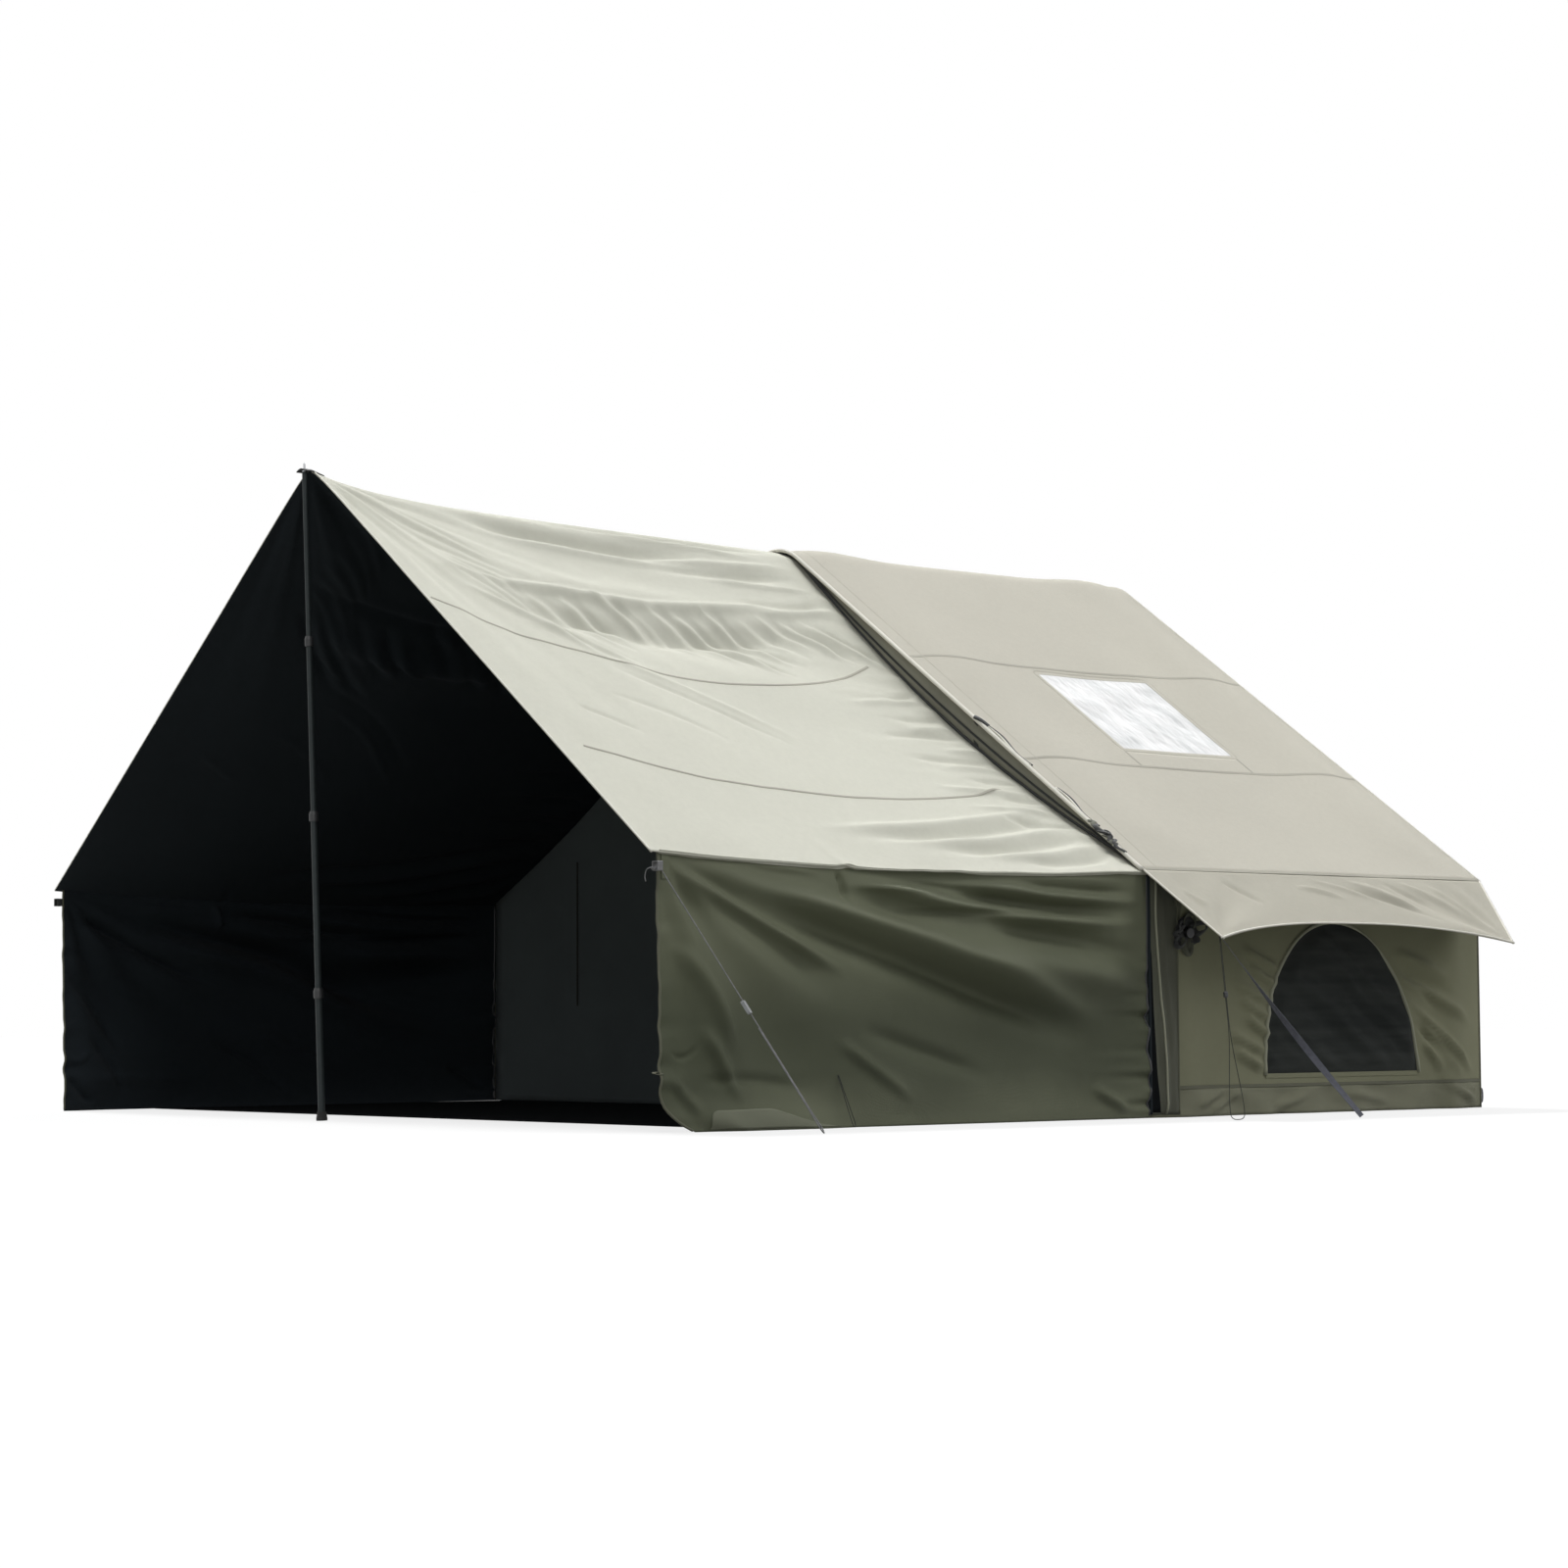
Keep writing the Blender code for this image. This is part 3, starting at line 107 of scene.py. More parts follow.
ridge_rise = ridge_height - eave_height - ridge_radius
roof_angle = math.atan2(ridge_rise, half_width) + math.asin(ridge_radius / math.hypot(half_width, ridge_rise))
ridge_centre_z = ridge_height - ridge_radius
roof_peak_z = ridge_centre_z + ridge_radius / math.cos(roof_angle)
sides = ((1, "right"), (-1, "left"))


# Shapes of the cloth

def hump(value, centre, width):
    return np.exp(-(((value - centre) / width) ** 2))


def ease(value):
    value = np.clip(value, 0.0, 1.0)
    return value * value * (3 - 2 * value)


def fade(*distances, width=0.10):
    """0 at a seam, rising to 1 at this distance from it."""
    least = distances[0]
    for other in distances[1:]:
        least = np.minimum(least, other)
    return ease(least / width)


def fan(across, down, folds, reach):
    """Folds that run out from a corner as rays."""
    far = np.hypot(across, down)
    angle = np.arctan2(down, across)
    return np.sin(2 * folds * angle) * ease(far / 0.25) * np.exp(-far / reach)


def lattice(i, j, seed):
    value = np.sin(i * 127.1 + j * 311.7 + seed * 74.7) * 43758.5453
    return (value - np.floor(value)) * 2 - 1


def noise(a, b, seed=0):
    """Smooth noise from -1 to 1, one bump to a unit."""
    i, j = np.floor(a), np.floor(b)
    u, v = ease(a - i), ease(b - j)
    low = lattice(i, j, seed) * (1 - u) + lattice(i + 1, j, seed) * u
    high = lattice(i, j + 1, seed) * (1 - u) + lattice(i + 1, j + 1, seed) * u
    return low * (1 - v) + high * v


def rumple(a, b, size, seed):
    """Three layers of noise: size is the width of the largest bumps."""
    total, strength = 0.0, 1.0
    for layer in range(3):
        total = total + strength * noise(a / size + 17.3 * layer, b / size - 9.1 * layer, seed + layer)
        size, strength = size * 0.52, strength * 0.5
    return total


def fold(a, b, start, end, bow, width, height):
    """One fold from start to end, bowed aside in its middle; a height below 0 makes it a valley."""
    reach = (end[0] - start[0], end[1] - start[1])
    length = math.hypot(*reach)
    way = (reach[0] / length, reach[1] / length)
    share = ((a - start[0]) * way[0] + (b - start[1]) * way[1]) / length
    aside = (b - start[1]) * way[0] - (a - start[0]) * way[1] - 4 * bow * share * (1 - share)
    return height * ease(share / 0.3) * ease((1 - share) / 0.35) * np.exp(-((aside / width) ** 2))


def folds(a, b, rows):
    total = np.zeros(np.shape(a))
    for row in rows:
        total = total + fold(a, b, *row)
    return total


def other_side(side, a, b):
    """The left side's folds lie a little differently from the right side's."""
    if side > 0:
        return a, b
    return a + 0.05 * noise(1.9 * a, 1.6 * b, 97), b + 0.07 * noise(1.7 * a, 2.1 * b, 98)


def roof_height(x):
    """Outer face of the cabin roof at this distance from the ridge, carried on past the eave."""
    x = np.abs(x)
    inner = np.sqrt(np.maximum(ridge_radius**2 - x * x, 0.0)) + ridge_centre_z
    return np.where(x < ridge_radius * math.sin(roof_angle), inner, roof_peak_z - x * math.tan(roof_angle))


def awning_half_width(along):
    return awning_front_width / 2 + (half_width - gap - awning_front_width / 2) * along


def awning_front_y(across):
    return apex_y + (corner_y - apex_y) * across


def awning_y(across, along):
    return awning_front_y(across) + (awning_back_y - awning_front_y(across)) * along


def awning_top(across, along):
    """Outer face of the awning roof, from ridge to eave and from front to cabin, both 0 to 1."""
    rounding = 0.03
    half = awning_half_width(along)
    x = across * half
    fall = (np.hypot(x, rounding) - rounding) / (np.hypot(half, rounding) - rounding)
    front = apex_height - (apex_height - front_corner_height) * fall
    tucked = roof_height(across * (half_width - gap)) - cloth - 0.006 - 0.13 * np.sin(math.pi * across)
    behind = along * awning_depth
    near_ridge = hump(across, 0.0, 0.25)
    ridge_share = 0.35 * (1 - along) + 0.65 * np.exp(-behind / 0.25)
    share = near_ridge * ridge_share + (1 - near_ridge) * (1 - along)
    dip = 0.030 * across * across * np.sin(math.pi * along)
    return tucked + (front - tucked) * share - dip + awning_folds(x, half, behind)


def awning_folds(x, half, behind):
    """Folds that run from the apex, and the slack pocket beside the ridge."""
    soft = fade(x, half - x, awning_depth - behind, behind + 0.03)
    rays = 0.016 * fan(x, behind + 0.01, 7, 1.1) + 0.0035 * fan(x, behind + 0.01, 24, 0.9)
    crest = 0.018 * hump(x, 0.50, 0.07) * hump(behind, awning_depth / 2, 0.9)
    pocket = 0.040 * hump(x, 0.74, 0.15) * hump(behind, awning_depth * 0.55, 0.75)
    before = awning_depth - behind
    drag = 0.0085 * np.exp(-before / 0.30) * noise(x / 0.050 + before, before / 0.30, 95)
    return soft * (rays + crest - pocket) + drag * ease(before / 0.04) * fade(x, half - x, width=0.15)


def wall_top(back):
    """Top edge of an awning side wall, just under the roof's last strip."""
    inner_share = 1 - 0.87 / 13
    share = 1.0 - 0.012 / awning_half_width(back)
    low, high = awning_top(1.0, back), awning_top(inner_share, back)
    return low + (high - low) * (1.0 - share) / (1.0 - inner_share) - cloth - 2 * gap


def wall_bulge(y, z):
    out = hump(y, beam_front_y, leg_bulge_width) + hump(y, beam_back_y, leg_bulge_width)
    last_row = (wall_top_z - skirt_height) / 6
    return leg_bulge * out * np.clip((wall_top_z - z) / last_row, 0.0, 1.0)


def wall_folds(y, z):
    front = beam_front_y + beam_radius * 1.6
    back = beam_back_y - beam_radius * 1.2
    soft = fade(y - front, back - y, z - skirt_height, wall_top_z - z, width=0.12)
    low = fan(back_y - y, z - skirt_height, 7, 0.55)
    high = fan(y - front, wall_top_z - z, 6, 0.45)
    return 0.007 * soft * (low + high)


wall_top_z = float(roof_height(wall_x)) - cloth - gap


# Meshes

def grid(a_values, b_values, keep=None):
    """Flat quads between rows and columns of values; keep(a, b) says which cells stay."""
    a, b = np.meshgrid(a_values, b_values, indexing="ij")
    points = np.stack([a.ravel(), b.ravel()], 1)
    rows, count = len(a_values), len(b_values)
    first = (np.arange(rows - 1)[:, None] * count + np.arange(count - 1)[None, :]).ravel()
    quads = np.stack([first, first + count, first + count + 1, first + 1], 1)
    if keep is not None:
        middle = points[quads].mean(1)
        quads = quads[keep(middle[:, 0], middle[:, 1])]
    return points, quads


def ray_hit(centre, toward, outline):
    """Where the ray from the centre through a point leaves a closed outline."""
    reach = (toward[0] - centre[0], toward[1] - centre[1])
    far = 0.0
    for (ax, ay), (bx, by) in zip(outline, outline[1:] + outline[:1]):
        edge = (bx - ax, by - ay)
        across = reach[0] * edge[1] - reach[1] * edge[0]
        if abs(across) < 1e-12:
            continue
        from_centre = (ax - centre[0], ay - centre[1])
        along = (from_centre[0] * edge[1] - from_centre[1] * edge[0]) / across
        share = (from_centre[0] * reach[1] - from_centre[1] * reach[0]) / across
        if -1e-9 <= share <= 1 + 1e-9:
            far = max(far, along)
    return (centre[0] + reach[0] * far, centre[1] + reach[1] * far)


def ring(outer, centre, hole, rings):
    """Flat quads from a hole's outline out to the outer points; a hole of None fills the middle."""
    outer = np.array(outer, float)
    if hole is None:
        inner = np.repeat([centre], len(outer), 0)
    else:
        inner = np.array([ray_hit(centre, point, hole) for point in outer])
    shares = np.linspace(0, 1, rings + 1)[:, None, None]
    points = (inner + (outer - inner) * shares).reshape(-1, 2)
    count = len(outer)
    first = np.arange(count)
    after = (first + 1) % count
    rows = np.arange(rings)[:, None] * count
    quads = np.stack([rows + first, rows + count + first, rows + count + after, rows + after], -1)
    return points, quads.reshape(-1, 4)


def by_angle(centre, points):
    found = {}
    for x, y in points:
        found.setdefault(round(math.atan2(y - centre[1], x - centre[0]), 6), (x, y))
    return [found[angle] for angle in sorted(found)]


def weld(*parts):
    """Flat parts joined where their points meet, as points and lists of corners."""
    points, quads, count = [], [], 0
    for part_points, part_quads in parts:
        points.append(part_points)
        quads.append(part_quads + count)
        count += len(part_points)
    points, quads = np.vstack(points), np.vstack(quads)
    _, first, back = np.unique(np.round(points, 5), axis=0, return_index=True, return_inverse=True)
    quads = back.reshape(-1)[quads]
    faces = [list(dict.fromkeys(quad)) for quad in quads.tolist()]
    return points[first], [face for face in faces if len(face) > 2]


def mesh_piece(name, vertices, faces, materials, body="tent"):
    """A mesh object that rides on a body."""
    mesh = bpy.data.meshes.new(name)
    mesh.from_pydata([tuple(map(float, v)) for v in vertices], [], [tuple(map(int, f)) for f in faces])
    mesh.polygons.foreach_set("use_smooth", [True] * len(mesh.polygons))
    for material in materials:
        mesh.materials.append(material)
    mesh.update()
    obj = bpy.data.objects.new(name, mesh)
    bpy.context.scene.collection.objects.link(obj)
    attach(obj, body)
    return obj


def thicken(obj, thickness, offset):
    """Cloth's thickness; an offset of -1 puts it behind the face, 0 on both sides."""
    solid = obj.modifiers.new("thickness", "SOLIDIFY")
    solid.thickness = thickness
    solid.offset = offset
    return solid


def facing(points, faces, face, outward):
    """The faces, all turned round if this one of them doesn't look outwards."""
    a, b, c = (points[face[k]] for k in range(3))
    if np.dot(np.cross(b - a, c - b), outward) < 0:
        return [face[::-1] for face in faces]
    return faces


def cloth_piece(name, flat, place, outside, inside, outward, thickness=cloth_thickness, body="tent"):
    """Cloth of two faces: place(a, b) gives its outer face, and outward says which way that looks."""
    points, faces = flat
    placed = place(points[:, 0], points[:, 1])
    faces = facing(placed, faces, max(faces, key=len), outward)
    obj = mesh_piece(name, placed, faces, [outside, inside or outside], body)
    solid = thicken(obj, thickness, -1)
    solid.material_offset = 1
    solid.material_offset_rim = 0
    solid.use_even_offset = False
    return obj


def frames_along(points, up=None):
    """Side and normal at each point of a line."""
    points = np.asarray(points, float)
    tangent = np.gradient(points, axis=0)
    tangent /= np.linalg.norm(tangent, axis=1)[:, None]
    if up is None:
        normal = np.zeros_like(points)
        start = np.cross(tangent[0], [0.31, 0.27, 0.91])
        normal[0] = start / np.linalg.norm(start)
        for k in range(1, len(points)):
            carried = normal[k - 1] - tangent[k] * np.dot(normal[k - 1], tangent[k])
            normal[k] = carried / np.linalg.norm(carried)
    else:
        normal = np.broadcast_to(np.asarray(up, float), points.shape).copy()
        normal -= tangent * (normal * tangent).sum(1)[:, None]
        normal /= np.linalg.norm(normal, axis=1)[:, None]
    return np.cross(normal, tangent), normal


def ring_faces(rows, count, closed=True):
    """Faces between rings of points that follow each other, with an end face on the first and the last."""
    faces = []
    for row in range(rows - 1):
        low = row * count
        faces += [(low + k, low + (k + 1) % count, low + count + (k + 1) % count, low + count + k)
                  for k in range(count)]
    if closed:
        faces += [tuple(range(count))[::-1], tuple(range((rows - 1) * count, rows * count))]
    return faces


def sharpen(obj):
    """Edges that turn by more than this are drawn sharp."""
    obj.data.set_sharp_from_angle(angle=sharp_angle)
    return obj


def same(values, value):
    """One value for each of these."""
    return np.full(len(values), value)


def tube(name, points, radius, material, sides_round=8, flat=1.0, up=None):
    """A round or oval bead along a line, with closed ends."""
    points = np.asarray(points, float)
    side, normal = frames_along(points, up)
    turn = np.linspace(0, 2 * math.pi, sides_round, endpoint=False)
    across = np.cos(turn)[None, :, None] * side[:, None, :]
    high = (np.sin(turn) * flat)[None, :, None] * normal[:, None, :]
    rings = points[:, None, :] + (across + high) * radius
    return mesh_piece(name, rings.reshape(-1, 3), ring_faces(len(points), sides_round), [material])


def ribbon(name, points, width, thickness, material, up, crown=0.0):
    """A flat strip along a line; up is its face's direction, one or one a point."""
    points = np.asarray(points, float)
    side, normal = frames_along(points, up)
    shares = np.linspace(-1, 1, 5)
    rows = []
    for share in shares:
        lift = crown * (1 - share * share)
        rows.append(points + side * (width / 2 * share) + normal * (thickness + lift))
    for share in shares[::-1]:
        rows.append(points + side * (width / 2 * share))
    rings = np.stack(rows, 1)
    faces = ring_faces(len(points), rings.shape[1])
    return sharpen(mesh_piece(name, rings.reshape(-1, 3), faces, [material]))


# Materials

class Nodes:
    """A material's nodes, made in one line each; the patterns lie in metres."""

    def __init__(self, name, roughness, sheen=0.0, specular=0.3, metallic=0.0):
        self.material = bpy.data.materials.new(name)
        self.material.use_nodes = True
        self.tree = self.material.node_tree
        self.shader = self.tree.nodes["Principled BSDF"]
        self.shader.inputs["Roughness"].default_value = roughness
        self.shader.inputs["Sheen Weight"].default_value = sheen
        self.shader.inputs["Sheen Roughness"].default_value = 0.6
        self.shader.inputs["Specular IOR Level"].default_value = specular
        self.shader.inputs["Metallic"].default_value = metallic
        self.place = self.add("ShaderNodeTexCoord").outputs["Object"]

    def add(self, kind, **values):
        node = self.tree.nodes.new(kind)
        for key, value in values.items():
            setattr(node, key, value)
        return node

    def link(self, source, socket):
        self.tree.links.new(source, socket)

    def noise(self, scale, detail=2.0, stretch=(1, 1, 1), turn=(0, 0, 0)):
        mapping = self.add("ShaderNodeMapping")
        mapping.inputs["Scale"].default_value = stretch
        mapping.inputs["Rotation"].default_value = turn
        self.link(self.place, mapping.inputs["Vector"])
        node = self.add("ShaderNodeTexNoise")
        node.inputs["Scale"].default_value = scale
        node.inputs["Detail"].default_value = detail
        self.link(mapping.outputs["Vector"], node.inputs["Vector"])
        return node.outputs["Fac"]

    def wave(self, scale, direction):
        node = self.add("ShaderNodeTexWave", bands_direction=direction)
        node.inputs["Scale"].default_value = scale
        self.link(self.place, node.inputs["Vector"])
        return node.outputs["Fac"]

    def math(self, operation, first, second):
        node = self.add("ShaderNodeMath", operation=operation)
        for socket, value in zip(node.inputs, (first, second)):
            if isinstance(value, (int, float)):
                socket.default_value = value
            else:
                self.link(value, socket)
        return node.outputs["Value"]

    def ramp(self, factor, *stops):
        node = self.add("ShaderNodeValToRGB")
        bar = node.color_ramp.elements
        while len(bar) < len(stops):
            bar.new(0.5)
        for element, (at, colour) in zip(bar, stops):
            element.position = at
            element.color = (*colour, 1.0)
        self.link(factor, node.inputs["Fac"])
        return node.outputs["Color"]

    def multiply(self, first, second):
        node = self.add("ShaderNodeMix", data_type="RGBA", blend_type="MULTIPLY")
        node.inputs[0].default_value = 1.0
        self.link(first, node.inputs[6])
        self.link(second, node.inputs[7])
        return node.outputs[2]

    def paint(self, colour):
        self.link(colour, self.shader.inputs["Base Color"])

    def vary_roughness(self, factor, least, most):
        node = self.add("ShaderNodeMapRange")
        node.inputs["To Min"].default_value = least
        node.inputs["To Max"].default_value = most
        self.link(factor, node.inputs["Value"])
        self.link(node.outputs["Result"], self.shader.inputs["Roughness"])

    def bump(self, height, distance, strength, onto=None):
        """Relief that follows a pattern; distance is its height in metres, onto is a relief below it."""
        node = self.add("ShaderNodeBump")
        node.inputs["Strength"].default_value = strength
        node.inputs["Distance"].default_value = distance
        self.link(height, node.inputs["Height"])
        if onto is not None:
            self.link(onto, node.inputs["Normal"])
        return node.outputs["Normal"]

    def relief(self, height, distance, strength, onto=None):
        self.link(self.bump(height, distance, strength, onto), self.shader.inputs["Normal"])


def tinted(colour, by):
    return tuple(channel * by for channel in colour)


# How fine the weave of the cloth, the ribs of the webbing and the net's threads are
cloth_threads, web_ribs, net_threads = 420.0, 520.0, 300.0


def cloth_material(name, colour, roughness, sheen, spread, crumple=0.0016, specular=0.25, painted_shade=None):
    """Woven cloth: uneven dye, a fine weave, small crumples, and roughness that varies.

    painted_shade is the tone of a band a hand or two above the ground, where the cloth is painted darker as
    shade.
    """
    n = Nodes(name, roughness, sheen, specular)
    fine = n.noise(38.0, 3.0)
    dye = n.ramp(n.noise(1.3, 3.0), (0.30, tinted(colour, 1 - spread)), (0.70, tinted(colour, 1 + spread)))
    # A band low on the cloth is painted darker, as shade
    if painted_shade is not None:
        height = n.add("ShaderNodeSeparateXYZ")
        n.link(n.place, height.inputs[0])
        level = n.math("ADD", height.outputs["Z"], n.math("MULTIPLY", n.noise(1.8, 3.0), 0.30))
        unshaded = (1.0, 1.0, 1.0)
        dye = n.multiply(dye, n.ramp(level, (0.18, unshaded), (0.33, painted_shade), (0.52, painted_shade), (0.82, unshaded)))
    speck = n.ramp(fine, (0.35, (0.97, 0.97, 0.97)), (0.65, (1.0, 1.0, 1.0)))
    n.paint(n.multiply(dye, speck))
    n.vary_roughness(fine, roughness - 0.06, roughness + 0.06)
    crumples = n.bump(n.noise(9.0, 4.0, turn=(0.4, 0.3, 0.9)), crumple, 0.6)
    warp = n.math("ADD", n.wave(cloth_threads, "Y"), n.wave(cloth_threads, "Z"))
    n.relief(n.math("ADD", warp, n.wave(cloth_threads, "X")), 0.0005, 0.5, crumples)
    return n.material


def web_material(name, colour):
    """Woven webbing or braided cord, with diagonal ribs."""
    n = Nodes(name, 0.75, 0.15)
    n.paint(n.ramp(n.noise(70.0, 3.0), (0.3, tinted(colour, 0.82)), (0.7, tinted(colour, 1.18))))
    n.relief(n.wave(web_ribs, "DIAGONAL"), 0.0006, 0.8)
    return n.material


def plastic_material(name, colour, roughness=0.42, metallic=0.0, specular=0.5):
    """Moulded plastic or painted metal, with a faint grain and scuffs."""
    n = Nodes(name, roughness, 0.0, specular, metallic)
    n.paint(n.ramp(n.noise(24.0, 4.0), (0.35, tinted(colour, 0.92)), (0.75, tinted(colour, 1.16))))
    n.vary_roughness(n.noise(60.0, 3.0), roughness - 0.08, roughness + 0.12)
    n.relief(n.noise(900.0, 2.0), 0.0001, 0.5)
    return n.material


roof_cloth = cloth_material("roof_cloth", (0.530, 0.508, 0.432), 0.82, 0.10, 0.03, crumple=0.0004)
awning_cloth = cloth_material("awning_cloth", (0.620, 0.618, 0.530), 0.78, 0.12, 0.03, crumple=0.0005)
flap_cloth = cloth_material("flap_cloth", (0.430, 0.412, 0.343), 0.82, 0.10, 0.05, crumple=0.0014)
flap_underside = cloth_material("flap_underside", (0.020, 0.022, 0.014), 0.85, 0.05, 0.08)
wall_cloth = cloth_material("wall_cloth", (0.300, 0.302, 0.200), 0.74, 0.06, 0.05, crumple=0.0007,
                            specular=0.15)
skirt_cloth = cloth_material("skirt_cloth", (0.245, 0.247, 0.169), 0.76, 0.12, 0.08, crumple=0.0012)
# The awning wall is painted darker a hand or two above the ground, as shade
awning_wall_cloth = cloth_material("awning_wall_cloth", (0.160, 0.172, 0.113), 0.42, 0.02, 0.06,
                                   crumple=0.0008, specular=0.14, painted_shade=(0.58, 0.60, 0.58))
black_lining = cloth_material("black_lining", (0.019, 0.025, 0.030), 0.85, 0.02, 0.12, specular=0.12)
gable_cloth = cloth_material("gable_cloth", (0.125, 0.146, 0.148), 0.85, 0.04, 0.12, specular=0.15)
dark_lining = cloth_material("dark_lining", (0.030, 0.032, 0.026), 0.85, 0.05, 0.12)
gusset_cloth = cloth_material("gusset_cloth", (0.290, 0.285, 0.235), 0.80, 0.05, 0.15)
piping_cloth = cloth_material("piping_cloth", (0.82, 0.80, 0.72), 0.70, 0.10, 0.06)
# Used for the window's piping, and for the highlight painted along the zip strip's fold
light_piping_and_painted_highlight = cloth_material("light_piping_and_painted_highlight", (0.420, 0.425, 0.320), 0.65, 0.10, 0.10)
strip_cloth = cloth_material("strip_cloth", (0.110, 0.114, 0.084), 0.74, 0.10, 0.08, crumple=0.0010)
green_piping = cloth_material("green_piping", (0.150, 0.152, 0.105), 0.65, 0.10, 0.10)
seam_cloth = cloth_material("seam_cloth", (0.40, 0.385, 0.325), 0.82, 0.05, 0.10)
patch_cloth = cloth_material("patch_cloth", (0.212, 0.223, 0.160), 0.70, 0.06, 0.12)
floor_cloth = cloth_material("floor_cloth", (0.008, 0.009, 0.010), 0.95, 0.0, 0.20, crumple=0.003,
                             specular=0.05)
beam_cloth = cloth_material("beam_cloth", (0.12, 0.125, 0.085), 0.7, 0.1, 0.08)
bladder_film = plastic_material("film_of_bladder", (0.62, 0.63, 0.62), 0.30)
rope_web = web_material("rope_web", (0.27, 0.27, 0.28))
dark_web = web_material("dark_web", (0.028, 0.030, 0.030))
strap_web = web_material("strap_web", (0.115, 0.120, 0.150))
cord_web = web_material("cord_web", (0.030, 0.033, 0.025))
hem_cord_web = web_material("hem_cord_web", (0.022, 0.024, 0.018))
black_moulding = plastic_material("black_moulding", (0.018, 0.019, 0.020))
grey_moulding = plastic_material("grey_moulding", (0.30, 0.31, 0.32))
pole_paint = plastic_material("pole_paint", (0.026, 0.033, 0.034), 0.45, 0.20, specular=0.25)
foot_rubber = plastic_material("foot_rubber", (0.015, 0.015, 0.015), 0.80)
spike_steel = plastic_material("spike_steel", (0.45, 0.46, 0.47), 0.35, 1.0)


def skylight_material():
    """Frosted film with faint clouding, and a faint white glow painted in as the daylight coming through it.
    """
    n = Nodes("skylight_film", 0.40, 0.0, 0.12)
    clouds = n.noise(7.0, 4.0, turn=(0.2, 0.5, 0.9))
    n.paint(n.ramp(clouds, (0.35, (0.55, 0.56, 0.56)), (0.6, (0.64, 0.64, 0.64))))
    # A faint painted glow, standing in for daylight shining through the film
    n.shader.inputs["Emission Strength"].default_value = 0.03
    n.shader.inputs["Emission Color"].default_value = (1, 1, 1, 1)
    n.relief(n.noise(9.0, 4.0, (1, 2.2, 1)), 0.012, 1.0)
    return n.material


def net_material():
    """Dark insect net: a fine square grid with a faint sheen, and lighter and darker diagonal streaks painted
    in as the shading of its folds.
    """
    n = Nodes("window_net", 0.75, 0.04, 0.15)
    # Lighter and darker diagonal streaks, painted as the shading of the net's folds
    painted_fold_shade = n.noise(3.0, 3.0, (1, 0.4, 4.5), (0.66, 0, 0))
    n.paint(n.ramp(painted_fold_shade, (0.35, (0.013, 0.017, 0.016)), (0.65, (0.050, 0.056, 0.052))))
    n.relief(n.math("ADD", n.wave(net_threads, "Y"), n.wave(net_threads, "Z")), 0.0008, 0.9)
    return n.material


skylight_film = skylight_material()
window_net = net_material()


# Cabin roof

# The cloth ends closer to the back wall than its solid, as in the photo
roof_front, roof_back = cabin_y - roof_overhang, back_y + 0.008


def roof_swell(x, y):
    """The cloth is pushed up over the two arch beams and dips a little between them."""
    edge = fade(y - roof_front, roof_back - y, width=0.16)
    over = 0.016 * (hump(y, 0.40, 0.20) + hump(y, 1.95, 0.20))
    slack = -0.004 * hump(y, 1.15, 0.5)
    eave = fade(half_width - np.abs(x), width=0.25)
    return edge * eave * (over + slack) + 0.0016 * rumple(x, y, 0.30, 3) * edge


def on_cabin_roof(x, y):
    return np.stack([x, y, roof_height(x) + roof_swell(x, y)], 1)


def along_line(start, end, step=trim_step):
    return np.linspace(start, end, max(2, int(round(abs(end - start) / step)) + 1))


def lines_through(*stops):
    """Values from the first stop to the last that also hit each stop between them."""
    found = [np.array([stops[0]])]
    for start, end in zip(stops, stops[1:]):
        found.append(along_line(start, end, roof_step)[1:])
    return np.concatenate(found)


def build_cabin_roof():
    top, bottom, near, far = skylight
    half = lines_through(0.0, top, bottom, half_width - gap)
    across = np.concatenate([-half[:0:-1], half])
    back = lines_through(roof_front, near, far, roof_back)

    def keep(x, y):
        return ~((np.abs(x) > top) & (np.abs(x) < bottom) & (y > near) & (y < far))

    roof = cloth_piece("cabin_roof", weld(grid(across, back, keep)), on_cabin_roof, roof_cloth, dark_lining,
                       (0, 0, 1))
    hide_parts(*[f"roof_{part}_{word}" for part in ("upper", "band", "lower") for _, word in sides])
    cells = weld(grid(along_line(top, bottom, film_step), along_line(near, far, film_step)))
    for side, word in sides:
        def on_pane(x, y, side=side):
            placed = on_cabin_roof(side * x, y)
            inner = fade(x - top, bottom - x, y - near, far - y, width=0.08)
            placed[:, 2] += inner * (0.004 * rumple(x, y, 0.10, 21) + 0.003 * np.sin(26 * (x + 0.45 * y)))
            return placed

        pane = cloth_piece("skylight_pane_" + word, cells, on_pane, skylight_film, None, (0, 0, 1),
                           film_thickness)
        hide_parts("skylight_" + word)


def roof_line(side, x_values, y_values, lift=0.0):
    """Points on the cabin roof."""
    placed = on_cabin_roof(side * np.asarray(x_values, float), np.asarray(y_values, float))
    placed[:, 2] += lift
    return placed


roof_normal = {side: (side * math.sin(roof_angle), 0, math.cos(roof_angle)) for side, _ in sides}


def roof_tape(name, side, x, y, width, thickness, material, lift=-0.0004):
    """A tape on the cabin roof, along a line on which x or y is the same all over."""
    line = roof_line(side, *np.broadcast_arrays(x, y), lift)
    ribbon(name, line, width, thickness, material, roof_normal[side])


